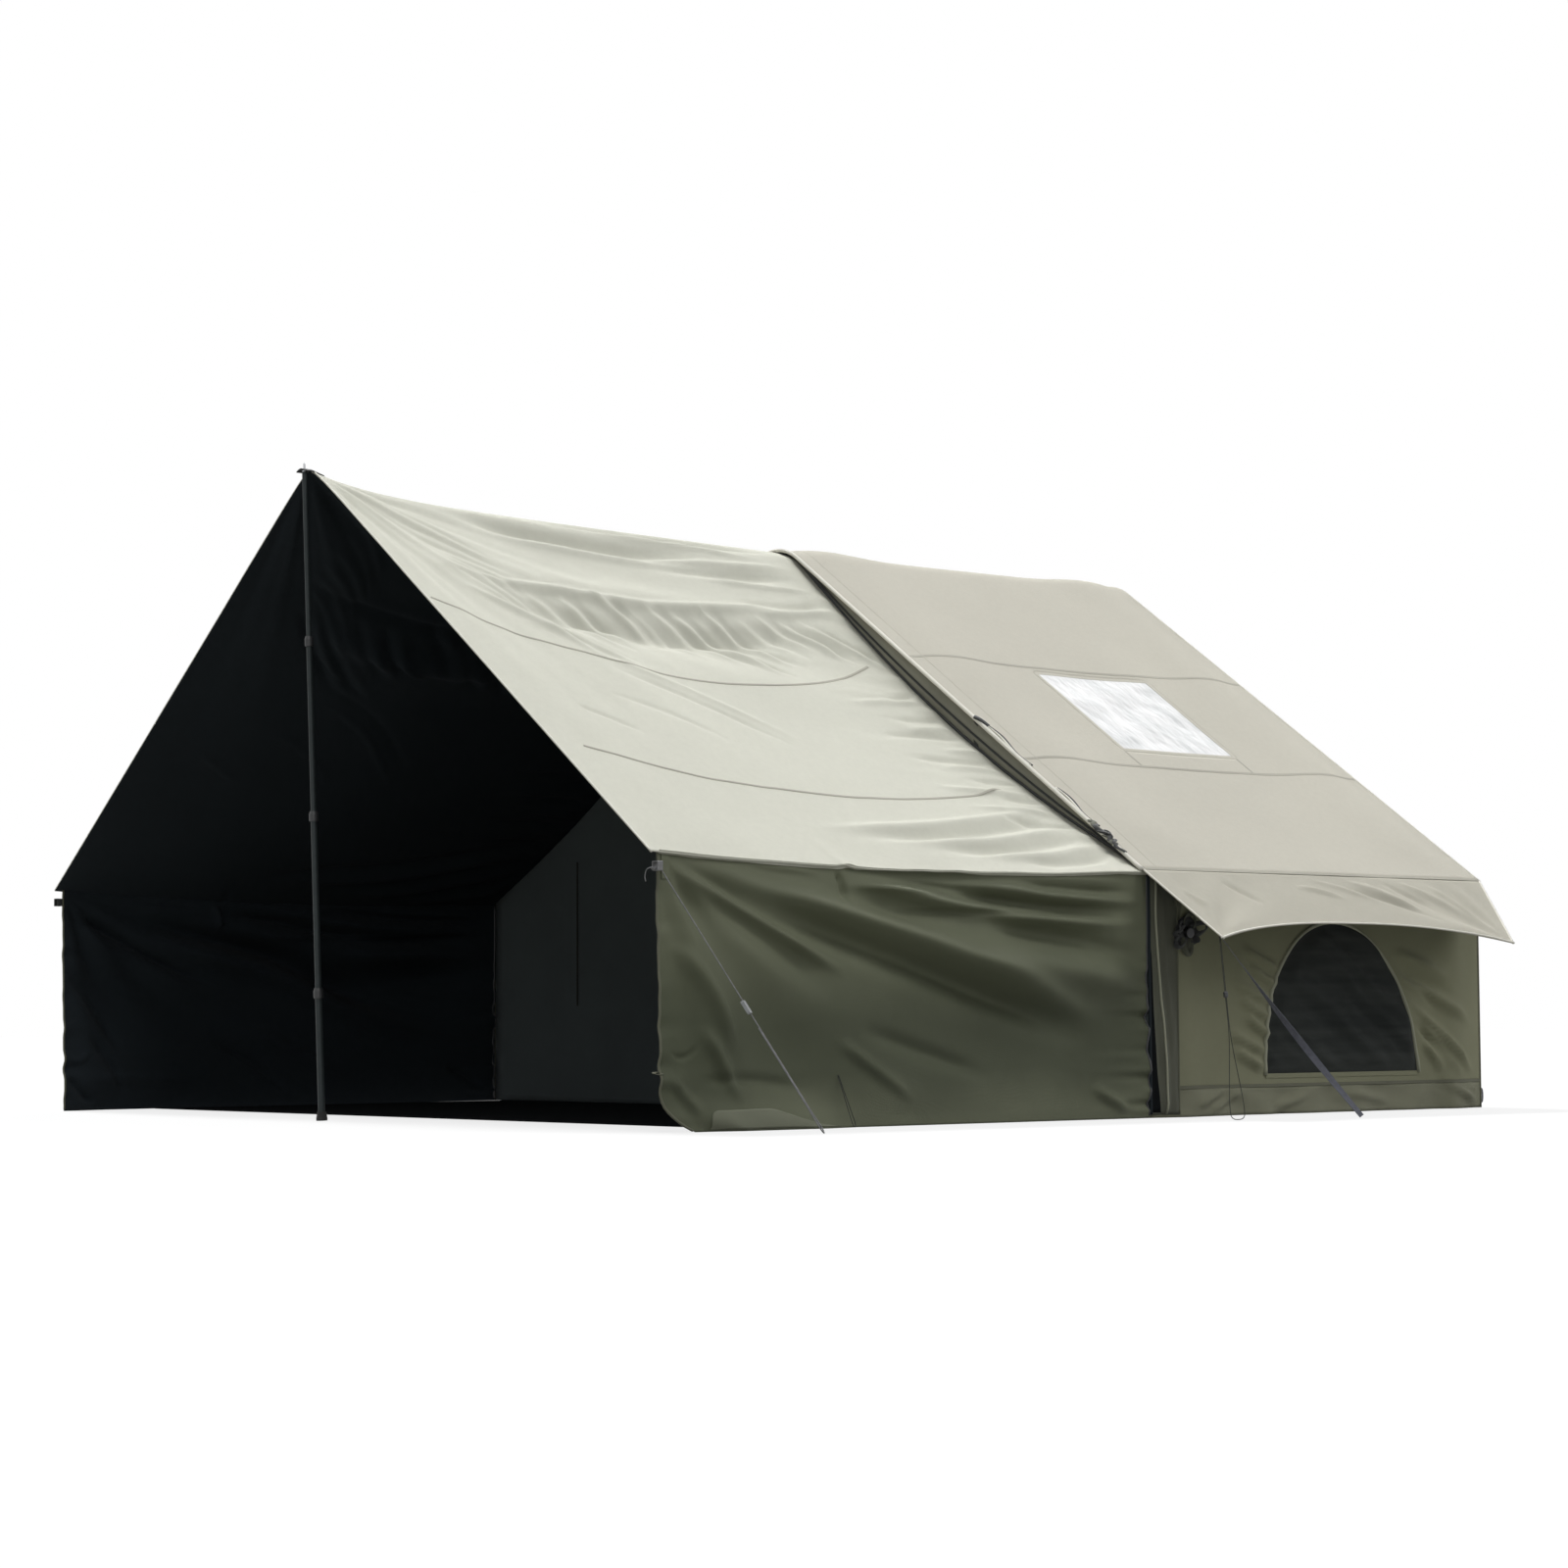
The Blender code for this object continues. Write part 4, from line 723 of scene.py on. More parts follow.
def build_roof_trim():
    """Seams across the roof, the skylight's stitched border, piping and the double hem at the front."""
    top, bottom, near, far = skylight
    y = along_line(roof_front + 0.004, roof_back - 0.004)
    for side, word in sides:
        for where, x in (("upper", upper_seam), ("lower", lower_seam)):
            roof_tape(f"roof_seam_{where}_{word}", side, x, y, *roof_seam, seam_cloth)
        down = along_line(bottom + 0.012, lower_seam)
        rim = along_line(top, bottom)
        for where, edge in (("front", near), ("back", far)):
            roof_tape(f"skylight_seam_{where}_{word}", side, down, edge, *skylight_seam, seam_cloth)
            roof_tape(f"skylight_border_{where}_{word}", side, rim, edge, *skylight_border, roof_cloth)
        rim = along_line(near, far)
        for where, x in (("top", top), ("bottom", bottom)):
            roof_tape(f"skylight_border_{where}_{word}", side, x, rim, *skylight_border, roof_cloth)
        eave = along_line(roof_front + 0.01, roof_back - 0.01)
        roof_tape("eave_seam_" + word, side, half_width - 0.006, eave, *eave_seam, seam_cloth, -0.0002)
    half = along_line(0, half_width)
    x = np.concatenate([-half[:0:-1], half])
    for where, edge, radius in (("front", roof_front + 0.001, thick_piping),
                                ("back", roof_back - 0.003, piping)):
        tube("roof_piping_" + where, roof_line(1, x, same(x, edge), -0.001), radius, piping_cloth)
    for where, inset in (("near", 0.030), ("far", 0.098)):
        line = roof_line(1, x, same(x, roof_front + inset), -0.0006)
        tube("roof_hem_" + where, line, thin_piping, roof_cloth, flat=0.6, up=(0, 0, 1))


# Eave flaps

def on_flap(side, out, along, lift=0.0):
    """The eave flap, from the cabin out and from front to back, both 0 to 1."""
    root_x = half_width + gap / 2
    root_y = roof_front + (roof_back - roof_front) * along
    tip_front, tip_back = roof_front + flap_front_inset, roof_back - flap_back_inset
    reach = flap_reach + flap_corner_reach * np.abs(2 * along - 1) ** 2.5
    tip_y = tip_front + (tip_back - tip_front) * along
    x = root_x + reach * out
    y = root_y + (tip_y - root_y) * out
    pulled = fan(reach * (1 - out), (1 - along) * 2.0, 7, 0.7) + fan(reach * (1 - out), along * 2.0, 5, 0.5)
    soft = ease(out / 0.35) * fade(along, 1 - along, width=0.06)
    drawn = flap_fold_strength * folds(x, y, flap_fold_rows) * soft
    z = roof_height(x) + 0.010 * soft * pulled + drawn + lift
    return np.stack([side * x, y, z], 1)


# Folds of the eave flap: start, end (out from the cabin, backwards), bow, width and height
flap_fold_rows = [
    ((2.18, 1.24), (2.44, 1.58), 0.02, 0.016, 0.01), ((2.24, 1.2), (2.46, 1.62), 0.02, 0.014, -0.009),
    ((2.2, 1.34), (2.38, 1.55), 0.01, 0.013, 0.008), ((2.17, 1.46), (2.38, 1.66), 0.01, 0.014, -0.008),
    ((2.26, 0.92), (2.33, 1.16), 0.01, 0.012, 0.007), ((2.17, 1.57), (2.42, 1.8), 0.01, 0.016, 0.008),
    ((2.28, 0.24), (2.4, 0.28), 0.0, 0.014, 0.006), ((2.2, 1.76), (2.46, 1.85), 0.01, 0.014, 0.007),
    ((2.22, 0.5), (2.38, 0.62), 0.01, 0.014, -0.006), ((2.18, 1.02), (2.34, 1.36), 0.0, 0.013, 0.006),
]


def build_eave_flaps():
    cells = weld(grid(np.linspace(0, 1, 30), np.linspace(0, 1, 130)))
    along, out = np.linspace(0, 1, 90), np.linspace(0, 1, 24)
    for side, word in sides:
        flap = cloth_piece("flap_sheet_" + word, cells, partial(on_flap, side), flap_cloth, flap_underside,
                           (0, 0, 1))
        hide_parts("eave_flap_" + word)
        for name, radius, line_out, line_along in (
                ("hem", piping, same(along, 0.985), along),
                ("piping_front", piping, out, same(out, 0.004)),
                ("piping_back", back_piping, out, same(out, 0.996))):
            tube(f"flap_{name}_{word}", on_flap(side, line_out, line_along, -0.001), radius, piping_cloth)


# Cabin side walls

# Folds of the cabin wall behind the window: start, end (backwards, up), bow, width and height
back_wall_folds = [
    ((1.72, 0.44), (2.14, 0.12), 0.01, 0.014, 0.012), ((1.73, 0.37), (2.09, 0.12), 0.0, 0.013, -0.01),
    ((1.79, 0.36), (2.05, 0.12), 0.0, 0.013, 0.01), ((1.66, 0.56), (1.92, 0.4), 0.01, 0.015, -0.009),
    ((1.9, 0.14), (2.15, 0.01), 0.0, 0.013, 0.01), ((1.6, 0.57), (2.13, 0.34), 0.01, 0.022, 0.013),
    ((1.64, 0.58), (2.04, 0.47), -0.01, 0.018, -0.01), ((1.6, 0.65), (1.98, 0.53), 0.01, 0.022, 0.01),
    ((1.79, 0.28), (1.92, 0.14), 0.01, 0.014, 0.011),
]


def wall_gathers():
    """Short folds of the cabin wall, one above the other, before the window."""
    rows = []
    for k in range(7):
        level = 0.66 - 0.065 * k
        start = (0.70 + 0.05 * math.sin(2.1 * k) - 0.01 * k, level)
        rows.append((start, (0.93 - 0.015 * k, level - 0.09), -0.008, 0.016, 0.012))
    return rows


cabin_wall_folds = back_wall_folds + wall_gathers()
# Folds of the skirt, in the same terms
skirt_fold_rows = [
    ((0.38, 0.03), (0.67, 0.13), 0.0, 0.014, 0.012), ((0.48, 0.01), (0.72, 0.11), 0.0, 0.012, 0.01),
    ((1.88, 0.13), (2.17, 0.01), 0.0, 0.015, 0.013), ((1.97, 0.13), (2.17, 0.07), 0.0, 0.012, 0.01),
    ((0.86, 0.02), (1.1, 0.08), 0.0, 0.015, 0.009), ((1.3, 0.09), (1.6, 0.03), 0.0, 0.016, 0.008),
]


def on_cabin_wall(side, y, z, depth=0.0):
    """The cabin's side wall; depth goes inwards from its outer face."""
    out = wall_x + wall_bulge(y, z) + wall_folds(y, z)
    soft = fade(y - cabin_y, back_y - y, z - skirt_height + 0.02, wall_top_z - z, width=0.07)
    creases = wall_fold_strength * folds(*other_side(side, y, z), cabin_wall_folds) * soft
    over_beam = np.minimum(hump(y, beam_front_y, 0.10) + hump(y, beam_back_y, 0.10), 1.0)
    # No valley is pressed into the beams
    out = out + np.where(creases < 0, creases * (1 - over_beam), creases)
    return np.stack([side * (out - depth), y, z], 1)


# The arch is pulled towards the front by its cloth
window_lean = 0.055


def window_outline(grow=0.0, count=60):
    points = []
    for turn in np.linspace(0.0, math.pi, count):
        lean = window_lean * math.sin(turn)
        points.append((window_middle + (window_half + grow) * math.cos(turn) - lean,
                       window_sill + (window_rise - window_arch_margin + grow) * math.sin(turn)))
    return points


def cabin_wall_cells():
    """Flat cells of the wall round the window, of the window's pane and of the skirt."""
    low, high = skirt_height + gap, wall_top_z
    block_front, block_back = 0.74, 1.86
    centre = (window_middle, window_sill + window_rise * 0.45)
    levels = along_line(low, high, wall_step)
    hole = window_outline()
    rim = [(block_front, z) for z in levels] + [(block_back, z) for z in levels]
    rim += [(y, z) for y in along_line(block_front, block_back, wall_step) for z in (low, high)]
    outline = [(block_front, low), (block_back, low), (block_back, high), (block_front, high)]
    rim += [ray_hit(centre, corner, outline) for corner in (hole[0], hole[-1])]
    rim = by_angle(centre, rim)
    wall = weld(grid(along_line(cabin_y + gap, block_front, wall_step), levels), ring(rim, centre, hole, 26),
                grid(along_line(block_back, back_y, wall_step), levels))
    pane = weld(ring([ray_hit(centre, point, hole) for point in rim], centre, None, 30))
    skirt = weld(grid(along_line(cabin_y + gap, back_y, 0.018), along_line(0.0, skirt_height, 0.014)))
    return wall, pane, skirt


def on_window_pane(side, y, z):
    """The net hangs a little slack in its arch."""
    placed = on_cabin_wall(side, y, z, 0.001)
    reach = np.hypot((y - window_middle) / window_half, (z - window_sill) / window_rise)
    inner = fade(1 - reach, (z - window_sill) / 0.6, width=0.12)
    slack = 0.008 * np.sin(24 * (z + 0.75 * (y - window_middle)) + 2.2 * noise(y * 3, z * 3, 4))
    slack = slack + 0.004 * np.sin(61 * (z + 0.68 * (y - window_middle)) + 2.0 * noise(y * 4, z * 4, 6))
    placed[:, 0] += side * inner * (0.014 + slack)
    return placed


def on_skirt(side, y, z):
    placed = on_cabin_wall(side, y, same(z, skirt_height + gap))
    placed[:, 2] = z
    down = 1 - z / skirt_height
    rows = 0.006 * np.sin(19 * y + 2.0 * noise(y * 4, z * 9, 5)) + 0.004 * rumple(y, z * 2, 0.12, 9)
    rows = rows + skirt_fold_strength * folds(y, z, skirt_fold_rows)
    placed[:, 0] += side * ease(down * 4) * (0.004 * down + rows) * fade(y - cabin_y, back_y - y)
    return placed


def build_cabin_walls():
    """Wall, window net and skirt on each side, with the window's piping and the hems."""
    cells, pane_cells, skirt_cells = cabin_wall_cells()
    for side, word in sides:
        on_wall = partial(on_cabin_wall, side)
        outward = (side, 0, 0)
        wall = cloth_piece("side_wall_" + word, cells, on_wall, wall_cloth, dark_lining, outward)
        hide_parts("cabin_wall_" + word)
        pane = cloth_piece("window_pane_" + word, pane_cells, partial(on_window_pane, side), window_net, None,
                           outward, thin_thickness)
        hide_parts("window_mesh_" + word)
        skirt = cloth_piece("skirt_sheet_" + word, skirt_cells, partial(on_skirt, side), skirt_cloth,
                            dark_lining, outward)
        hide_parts("wall_skirt_" + word)
        arch = np.array(window_outline(0.004, 70))
        line = on_wall(arch[:, 0], arch[:, 1]) + np.array([side * 0.002, 0, 0])
        tube("window_piping_" + word, line, thick_piping, light_piping_and_painted_highlight)
        y = along_line(window_middle - window_half, window_middle + window_half)
        line = on_wall(y, same(y, window_sill - 0.004))
        ribbon("sill_hem_" + word, line, *sill_hem, wall_cloth, outward)
        y = along_line(cabin_y + 0.02, back_y - 0.004)
        line = on_wall(y, same(y, skirt_height + 0.004))
        ribbon("skirt_seam_" + word, line, *skirt_seam, green_piping, outward)
        z = along_line(0.0, wall_top_z - 0.01, 0.03)
        post = on_wall(same(z, back_y - 0.003), np.maximum(z, skirt_height + gap))
        post[:, 2] = z
        tube("corner_piping_" + word, post, piping, green_piping)


# Zip flaps, gables and door

def zip_crest(z):
    """How far back the strip's fold lies at this height, as a share of its width."""
    return 0.12 + 0.40 * (1 - z / zip_height) + 0.05 * np.sin(7 * z)


def on_strip(side, a, z):
    """The strip over the zip, from front to back, 0 to 1."""
    y = cabin_y + gap + a * zip_flap_width
    placed = on_cabin_wall(side, y, np.clip(z, skirt_height + gap, wall_top_z))
    placed[:, 2] = z
    crest = zip_crest(z)
    twist = 0.016 * hump(a, crest, 0.13) + 0.007 * hump(a, crest + 0.32, 0.10)
    twist = twist + 0.003 * noise(a * 6, z * 9, 91)
    placed[:, 0] += side * (cloth + 0.0012 + twist * ease(a / 0.1) * ease((1 - a) / 0.1) * ease(z / 0.05))
    return placed


def build_zip_flaps():
    """The strip over each zip, a near-black sheet painted as the shadow in the gap at its front edge, a light
    tube painted as the highlight along its fold's crest, and its piping.
    """
    cells = weld(grid(np.linspace(0, 1, 16), along_line(0.012, wall_top_z - 0.012, 0.014)))
    for side, word in sides:
        strip = cloth_piece("zip_strip_" + word, cells, partial(on_strip, side), strip_cloth, dark_lining,
                            (side, 0, 0))
        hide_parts("zip_flap_" + word)
        # A near-black sheet over the strip's front part, painted as the shadow in the gap beside the awning
        # wall
        z = along_line(0.02, wall_top_z - 0.03)
        edge = 0.02 + 0.34 * (1 - z / zip_height) ** 2
        columns = 6
        rows = [on_strip(side, edge * share, z) + np.array([side * 0.0012, 0, 0])
                for share in np.linspace(0, 1, columns)]
        dark = [(low + j, low + j + 1, low + columns + j + 1, low + columns + j)
                for low in range(0, columns * (len(z) - 1), columns) for j in range(columns - 1)]
        opening = mesh_piece("zip_gap_painted_shadow_" + word, np.stack(rows, 1).reshape(-1, 3), dark, [floor_cloth])
        thicken(opening, 0.0010, -1)
        z = along_line(0.014, wall_top_z - 0.014)
        # A light tube along the fold's crest, painted as its highlight
        line = on_strip(side, zip_crest(z), z) + np.array([side * 0.001, 0, 0])
        tube("zip_fold_painted_highlight_" + word, line, piping, light_piping_and_painted_highlight)
        for where, a, radius, material in (("front", 0.0, 0.0060, black_lining),
                                           ("back", 0.98, 0.0035, green_piping)):
            tube(f"zip_piping_{where}_{word}", on_strip(side, same(z, a), z), radius, material)


def gable_outline(margin):
    side_x = wall_x - cloth - gap - margin
    xs = np.linspace(side_x, -side_x, 61)
    top = [(x, float(roof_height(x)) - cloth - gap - margin) for x in xs]
    return [(-side_x, 0.0035), (side_x, 0.0035)] + top


# Folds of the rear gable: start, end (across, up), bow, width and height
gable_fold_rows = [
    ((-2.05, 0.1), (-0.7, 0.62), 0.05, 0.05, 0.014), ((2.05, 0.08), (0.9, 0.48), -0.05, 0.045, 0.013),
    ((-2.0, 0.85), (-1.0, 0.3), 0.04, 0.04, -0.012), ((2.02, 0.88), (0.75, 0.35), -0.04, 0.05, -0.013),
    ((-1.3, 1.4), (-0.3, 0.75), 0.03, 0.04, 0.011), ((1.2, 1.48), (0.35, 0.85), -0.03, 0.04, 0.01),
    ((-0.4, 2.0), (-0.15, 1.1), 0.03, 0.03, -0.009), ((0.3, 2.05), (0.1, 1.2), -0.02, 0.028, 0.008),
    ((-0.6, 0.05), (-0.5, 0.5), 0.02, 0.03, 0.009), ((0.45, 0.04), (0.38, 0.55), -0.02, 0.028, -0.009),
]


def door_outline():
    """The door's opening, from its foot round its two upper corners."""
    hole = [(-door_half, door_low), (door_half, door_low)]
    for turn in np.linspace(0.0, math.pi / 2, 8):
        hole.append((door_half - door_corner * (1 - math.cos(turn)),
                     door_high - door_corner * (1 - math.sin(turn))))
    return hole + [(-x, z) for x, z in reversed(hole[2:])]


def gable_rim(centre, hole):
    """Points round the gable, close enough together, with one on each ray to a corner of the door."""
    outline = gable_outline(0.001)
    dense = []
    for (ax, az), (bx, bz) in zip(outline, outline[1:] + outline[:1]):
        steps = max(1, int(math.hypot(bx - ax, bz - az) / 0.04))
        dense += [(ax + (bx - ax) * k / steps, az + (bz - az) * k / steps) for k in range(steps)]
    return by_angle(centre, dense + [ray_hit(centre, point, outline) for point in hole])


def on_front_gable(x, z):
    return np.stack([x, cabin_y + gap + 0.002 + 0.0012 * rumple(x, z, 0.35, 31), z], 1)


def on_door(x, z):
    calm = fade(door_half - np.abs(x), z - door_low, door_high - z, width=0.12)
    return np.stack([x, cabin_y + gap + 0.002 + calm * 0.0010 * rumple(x, z, 0.25, 35), z], 1)


def on_rear_gable(x, z):
    """The back wall hangs inwards between its edges and is pushed out a little by the rear beam."""
    inner = fade(wall_x - np.abs(x), z, roof_height(x) - z, width=0.25)
    drawn = fan(wall_x - x, z, 6, 0.8) + fan(wall_x + x, z, 6, 0.8)
    inward = 0.016 + 0.014 * drawn + 0.006 * rumple(x, z, 0.4, 33) - folds(x, z, gable_fold_rows)
    arch = hump(roof_height(x) - z, 0.16, 0.09) * 0.010
    return np.stack([x, back_y - 0.002 - inner * (inward - arch), z], 1)


def build_gables():
    """Front and rear gable, the door, and their seams."""
    middle_z = 0.95
    centre = (0.0, middle_z)
    hole = door_outline()
    rim = gable_rim(centre, hole)
    forward = (0, -1, 0)
    front = cloth_piece("gable_sheet_front", weld(ring(rim, centre, hole, 26)), on_front_gable, gable_cloth,
                        black_lining, forward, gable_thickness)
    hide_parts("front_gable")
    rear = cloth_piece("gable_sheet_rear", weld(ring(rim, centre, None, 40)), on_rear_gable, wall_cloth,
                       dark_lining, (0, 1, 0), gable_thickness)
    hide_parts("rear_gable")
    edge = [ray_hit(centre, point, hole) for point in rim]
    # The door is a little smaller than its opening
    inner = [(x * 0.996, (z - middle_z) * 0.997 + middle_z) for x, z in edge]
    door = cloth_piece("door_sheet", weld(ring(inner, centre, None, 26)), on_door, gable_cloth, black_lining,
                       forward, gable_thickness, "door")
    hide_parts("door_panel")
    z = along_line(0.45, 1.12, 0.03)
    line = np.stack([same(z, -1.5), same(z, cabin_y - 0.0005), z], 1)
    ribbon("gable_seam", line, *gable_seam, dark_lining, forward)
    for level, word in ((0.95, "low"), (1.62, "high")):
        reach = min(wall_x - 0.03, (roof_peak_z - level) / math.tan(roof_angle) - 0.03)
        x = along_line(-reach, reach, 0.03)
        ribbon("rear_seam_" + word, on_rear_gable(x, same(x, level)), *rear_seam, green_piping, (0, 1, 0))


# Awning

# Seams of the awning roof: start, end (from the ridge, towards the cabin) and bow
awning_seams = (((0.79, -2.20), (0.72, 0.03), 0.27), ((1.58, -2.08), (1.57, -0.02), 0.13))


# Folds of the awning roof: start, end (from the ridge, towards the cabin), bow, width and height
drawn_roof_folds = [
    ((0.49, -2.1), (0.35, 0.06), -0.14, 0.022, 0.013), ((0.64, -1.98), (0.5, 0.0), -0.13, 0.055, -0.024),
    ((0.09, -1.75), (0.17, -0.35), -0.05, 0.04, -0.026), ((0.17, -1.6), (0.24, -0.2), -0.06, 0.02, 0.009),
    ((0.05, -1.3), (0.09, 0.08), 0.01, 0.02, -0.015), ((0.1, -1.0), (0.16, 0.0), 0.01, 0.014, 0.007),
    ((0.22, -0.95), (0.17, 0.14), -0.02, 0.018, 0.009), ((0.28, -0.9), (0.24, 0.1), -0.01, 0.02, -0.012),
    ((0.31, -0.55), (0.3, 0.14), -0.01, 0.014, 0.007), ((0.44, -0.45), (0.37, 0.12), -0.02, 0.018, -0.01),
    ((0.5, -0.45), (0.4, 0.18), -0.02, 0.018, 0.01), ((0.95, -1.62), (1.36, -0.85), 0.04, 0.02, 0.005),
    ((1.03, -1.6), (1.42, -0.9), 0.04, 0.016, -0.005), ((1.2, -1.72), (1.44, -1.25), 0.03, 0.014, -0.003),
    ((1.32, -1.95), (1.44, -1.68), 0.01, 0.012, -0.004), ((0.8, -1.85), (1.05, -1.3), 0.03, 0.016, 0.004),
]


def runs_of_roof_folds():
    """Folds that lie in rows: across the middle in pairs, along the cabin, up from the eave, off the apex."""
    rows = []
    for k in range(13):
        start = (0.585 - 0.006 * k + 0.02 * math.sin(2.9 * k), -1.96 + 0.150 * k + 0.04 * math.sin(5.1 * k))
        reach = 1.0 + 0.30 * math.sin(7.3 * k + 1.0)
        end = (start[0] + (0.34 - 0.012 * k) * reach, start[1] + (0.36 - 0.006 * k) * reach)
        swing, strong = 0.014 * math.sin(3.7 * k), 0.75 + 0.35 * math.sin(4.7 * k + 0.5)
        rows.append((start, end, swing, 0.020 + 0.004 * math.sin(3.1 * k), 0.0125 * strong))
        rows.append(((start[0], start[1] + 0.075), (end[0], end[1] + 0.075), swing, 0.018, -0.0100 * strong))
    for k in range(13):
        start = (0.86 + 0.080 * k, 0.21 - 0.03 * math.sin(2.3 * k))
        end = (start[0] + 0.11 - 0.014 * k, -0.10 - 0.30 * math.sin(1.9 * k) ** 2)
        rows.append((start, end, 0.015 * math.sin(4.3 * k), 0.016, 0.007 if k % 2 else -0.008))
    for k in range(6):
        start = (1.93 + 0.030 * k, -1.35 + 0.18 * k)
        end = (1.66 + 0.070 * k, 0.20 - 0.03 * (k % 2))
        rows.append((start, end, -0.05, 0.024, -0.011 if k % 2 else 0.010))
    for k in range(6):
        start = (0.13 + 0.075 * k, -2.03 + 0.012 * k)
        rows.append((start, (start[0] + 0.30, start[1] + 0.40), 0.03, 0.012, -0.005))
    return rows


roof_folds = drawn_roof_folds + runs_of_roof_folds()
# Folds of the awning wall: start, end (towards the cabin, up), bow, width and height
awning_wall_folds = [
    ((-2.14, 0.93), (-1.33, 0.53), -0.01, 0.02, 0.02), ((-2.08, 0.85), (-1.35, 0.44), 0.01, 0.055, -0.016),
    ((-2.05, 0.94), (0.0, 0.33), 0.03, 0.055, 0.042), ((-1.95, 0.94), (-0.85, 0.72), -0.02, 0.045, -0.022),
    ((-1.85, 0.83), (-0.1, 0.3), 0.0, 0.055, -0.034), ((-1.37, 0.9), (0.19, 0.74), -0.05, 0.026, 0.024),
    ((-1.2, 0.9), (0.18, 0.79), -0.04, 0.024, -0.018), ((-0.88, 0.89), (0.19, 0.82), -0.01, 0.022, 0.018),
    ((-1.35, 0.93), (-0.5, 0.9), -0.01, 0.018, -0.012), ((-0.55, 0.88), (0.13, 0.86), -0.01, 0.018, -0.012),
    ((-1.24, 0.76), (0.2, 0.76), 0.01, 0.01, -0.01), ((-0.9, 0.65), (0.22, 0.5), -0.01, 0.065, 0.03),
    ((-0.75, 0.71), (0.2, 0.6), 0.02, 0.04, -0.022), ((-1.38, 0.92), (-1.34, 0.78), 0.01, 0.012, -0.009),
    ((-2.13, 0.28), (-1.99, 0.31), -0.04, 0.01, -0.004), ((-2.13, 0.67), (-1.83, 0.24), 0.03, 0.03, 0.012),
    ((-2.0, 0.37), (-1.82, 0.08), 0.01, 0.022, 0.011), ((-2.13, 0.2), (-1.98, 0.05), 0.0, 0.02, 0.01),
    ((-1.41, 0.32), (-1.0, 0.08), 0.0, 0.022, 0.01), ((-1.32, 0.36), (-0.62, 0.16), 0.0, 0.03, -0.009),
    ((-0.14, 0.13), (0.08, 0.02), 0.0, 0.02, 0.01), ((-1.36, 0.95), (0.1, 0.9), 0.0, 0.012, 0.012),
    ((-1.9, 0.95), (-1.42, 0.9), 0.0, 0.014, 0.01), ((-1.36, 0.86), (-0.6, 0.83), 0.0, 0.014, 0.01),
    ((-2.02, 0.17), (-1.5, 0.13), 0.02, 0.022, -0.006),
]


def on_awning_roof(side, across, along, lift=0.0):
    half = awning_half_width(along)
    x = gap / 2 + across * (half - gap / 2)
    y = awning_y(across, along)
    soft = fade(half - x, (1 - along) * awning_depth, along * awning_depth + 0.01, x + 0.02)
    drawn = roof_fold_strength * soft * folds(*other_side(side, x, y), roof_folds)
    z = awning_top(across, along) + drawn + lift
    z = z + soft * 0.0016 * rumple(x, y, 0.22, 11) + eave_wave(along) * ease((across - 0.92) / 0.08)
    return np.stack([side * x, y, z], 1)


def eave_wave(along):
    """The eave of the awning isn't quite straight: small waves, and a nick where the folds cross it."""
    ends = ease(along / 0.1) * ease((1 - along) / 0.1)
    waves = 0.005 * noise(along * 9, 0.5, 61) + 0.003 * noise(along * 24, 3.5, 63)
    return ends * (waves + 0.008 * hump(along, 0.36, 0.012))


def on_awning_wall(side, back, up, depth=0.0):
    """The awning's side wall, from front to back and from its foot up; depth goes inwards."""
    top = wall_top(back) + eave_wave(back)
    z = top * up
    cut = 0.15 if side > 0 else 0.0
    start = front_y + 0.012 + cut * np.maximum(1 - z / 0.18, 0.0) ** 3
    ragged = 0.022 * np.abs(noise(z / 0.055, 0.5, 75)) * ease((0.72 - z) / 0.2) * ease((back - 0.93) / 0.07)
    y = start + (awning_back_y - start) * back - ragged
    flare = 0.02 * (1 - up) if side > 0 else 0.012 * hump(up, 0.8, 0.25) - 0.022 * (1 - up)
    soft = fade(y - start, awning_back_y - y, z, top - z, width=0.14)
    edge = fade(y - start, awning_back_y - y, z, top - z, width=0.05)
    belly = 0.042 * ease((up - 0.22) / 0.40) * ease((1 - up) / 0.35) * fade(back, 1 - back, width=0.15)
    foot = 0.034 * ease((0.15 - z) / 0.15) * ease((back - 0.02) / 0.08) * ease((0.34 - back) / 0.12)
    out = 0.022 * fan(y - start, top - z, 6, 1.1) * soft + belly + foot
    drawn = awning_wall_fold_strength * folds(*other_side(side, y, z), awning_wall_folds)
    out = out + edge * (drawn + 0.002 * rumple(y, z, 0.18, 13))
    gather = fade(z, top - z, width=0.05)
    at_zip = 0.020 * gather * np.exp((y - awning_back_y) / 0.09) * ease((0.66 - z) / 0.3)
    out = out + at_zip * noise(z / 0.026, y / 0.3, 71)
    out = out + 0.013 * gather * np.exp((start - y) / 0.06) * noise(z / 0.045, y / 0.3, 73)
    return np.stack([side * (awning_half_width(back) - 0.012 + flare * (1 - back) + out - depth), y, z], 1)


def on_hem_patch(side, a, b):
    """The patch on the foot of the wall narrows towards both ends."""
    height = b * (0.070 + 0.040 * noise(a * 11, 0.5, 77)) * ease((0.30 - a) / 0.12) * ease((a - 0.03) / 0.06)
    return on_awning_wall(side, a, 0.008 + height, -0.0022)


def on_eave_hem(side, a, b):
    """The roof's cloth turned down over the top of the wall."""
    width = 0.013 + 0.006 * noise(a * 9, 0.5, 65) + 0.003 * noise(a * 31, 0.5, 67)
    return on_awning_wall(side, a, 1.002 - b * width, -0.0105 + 0.0075 * b)


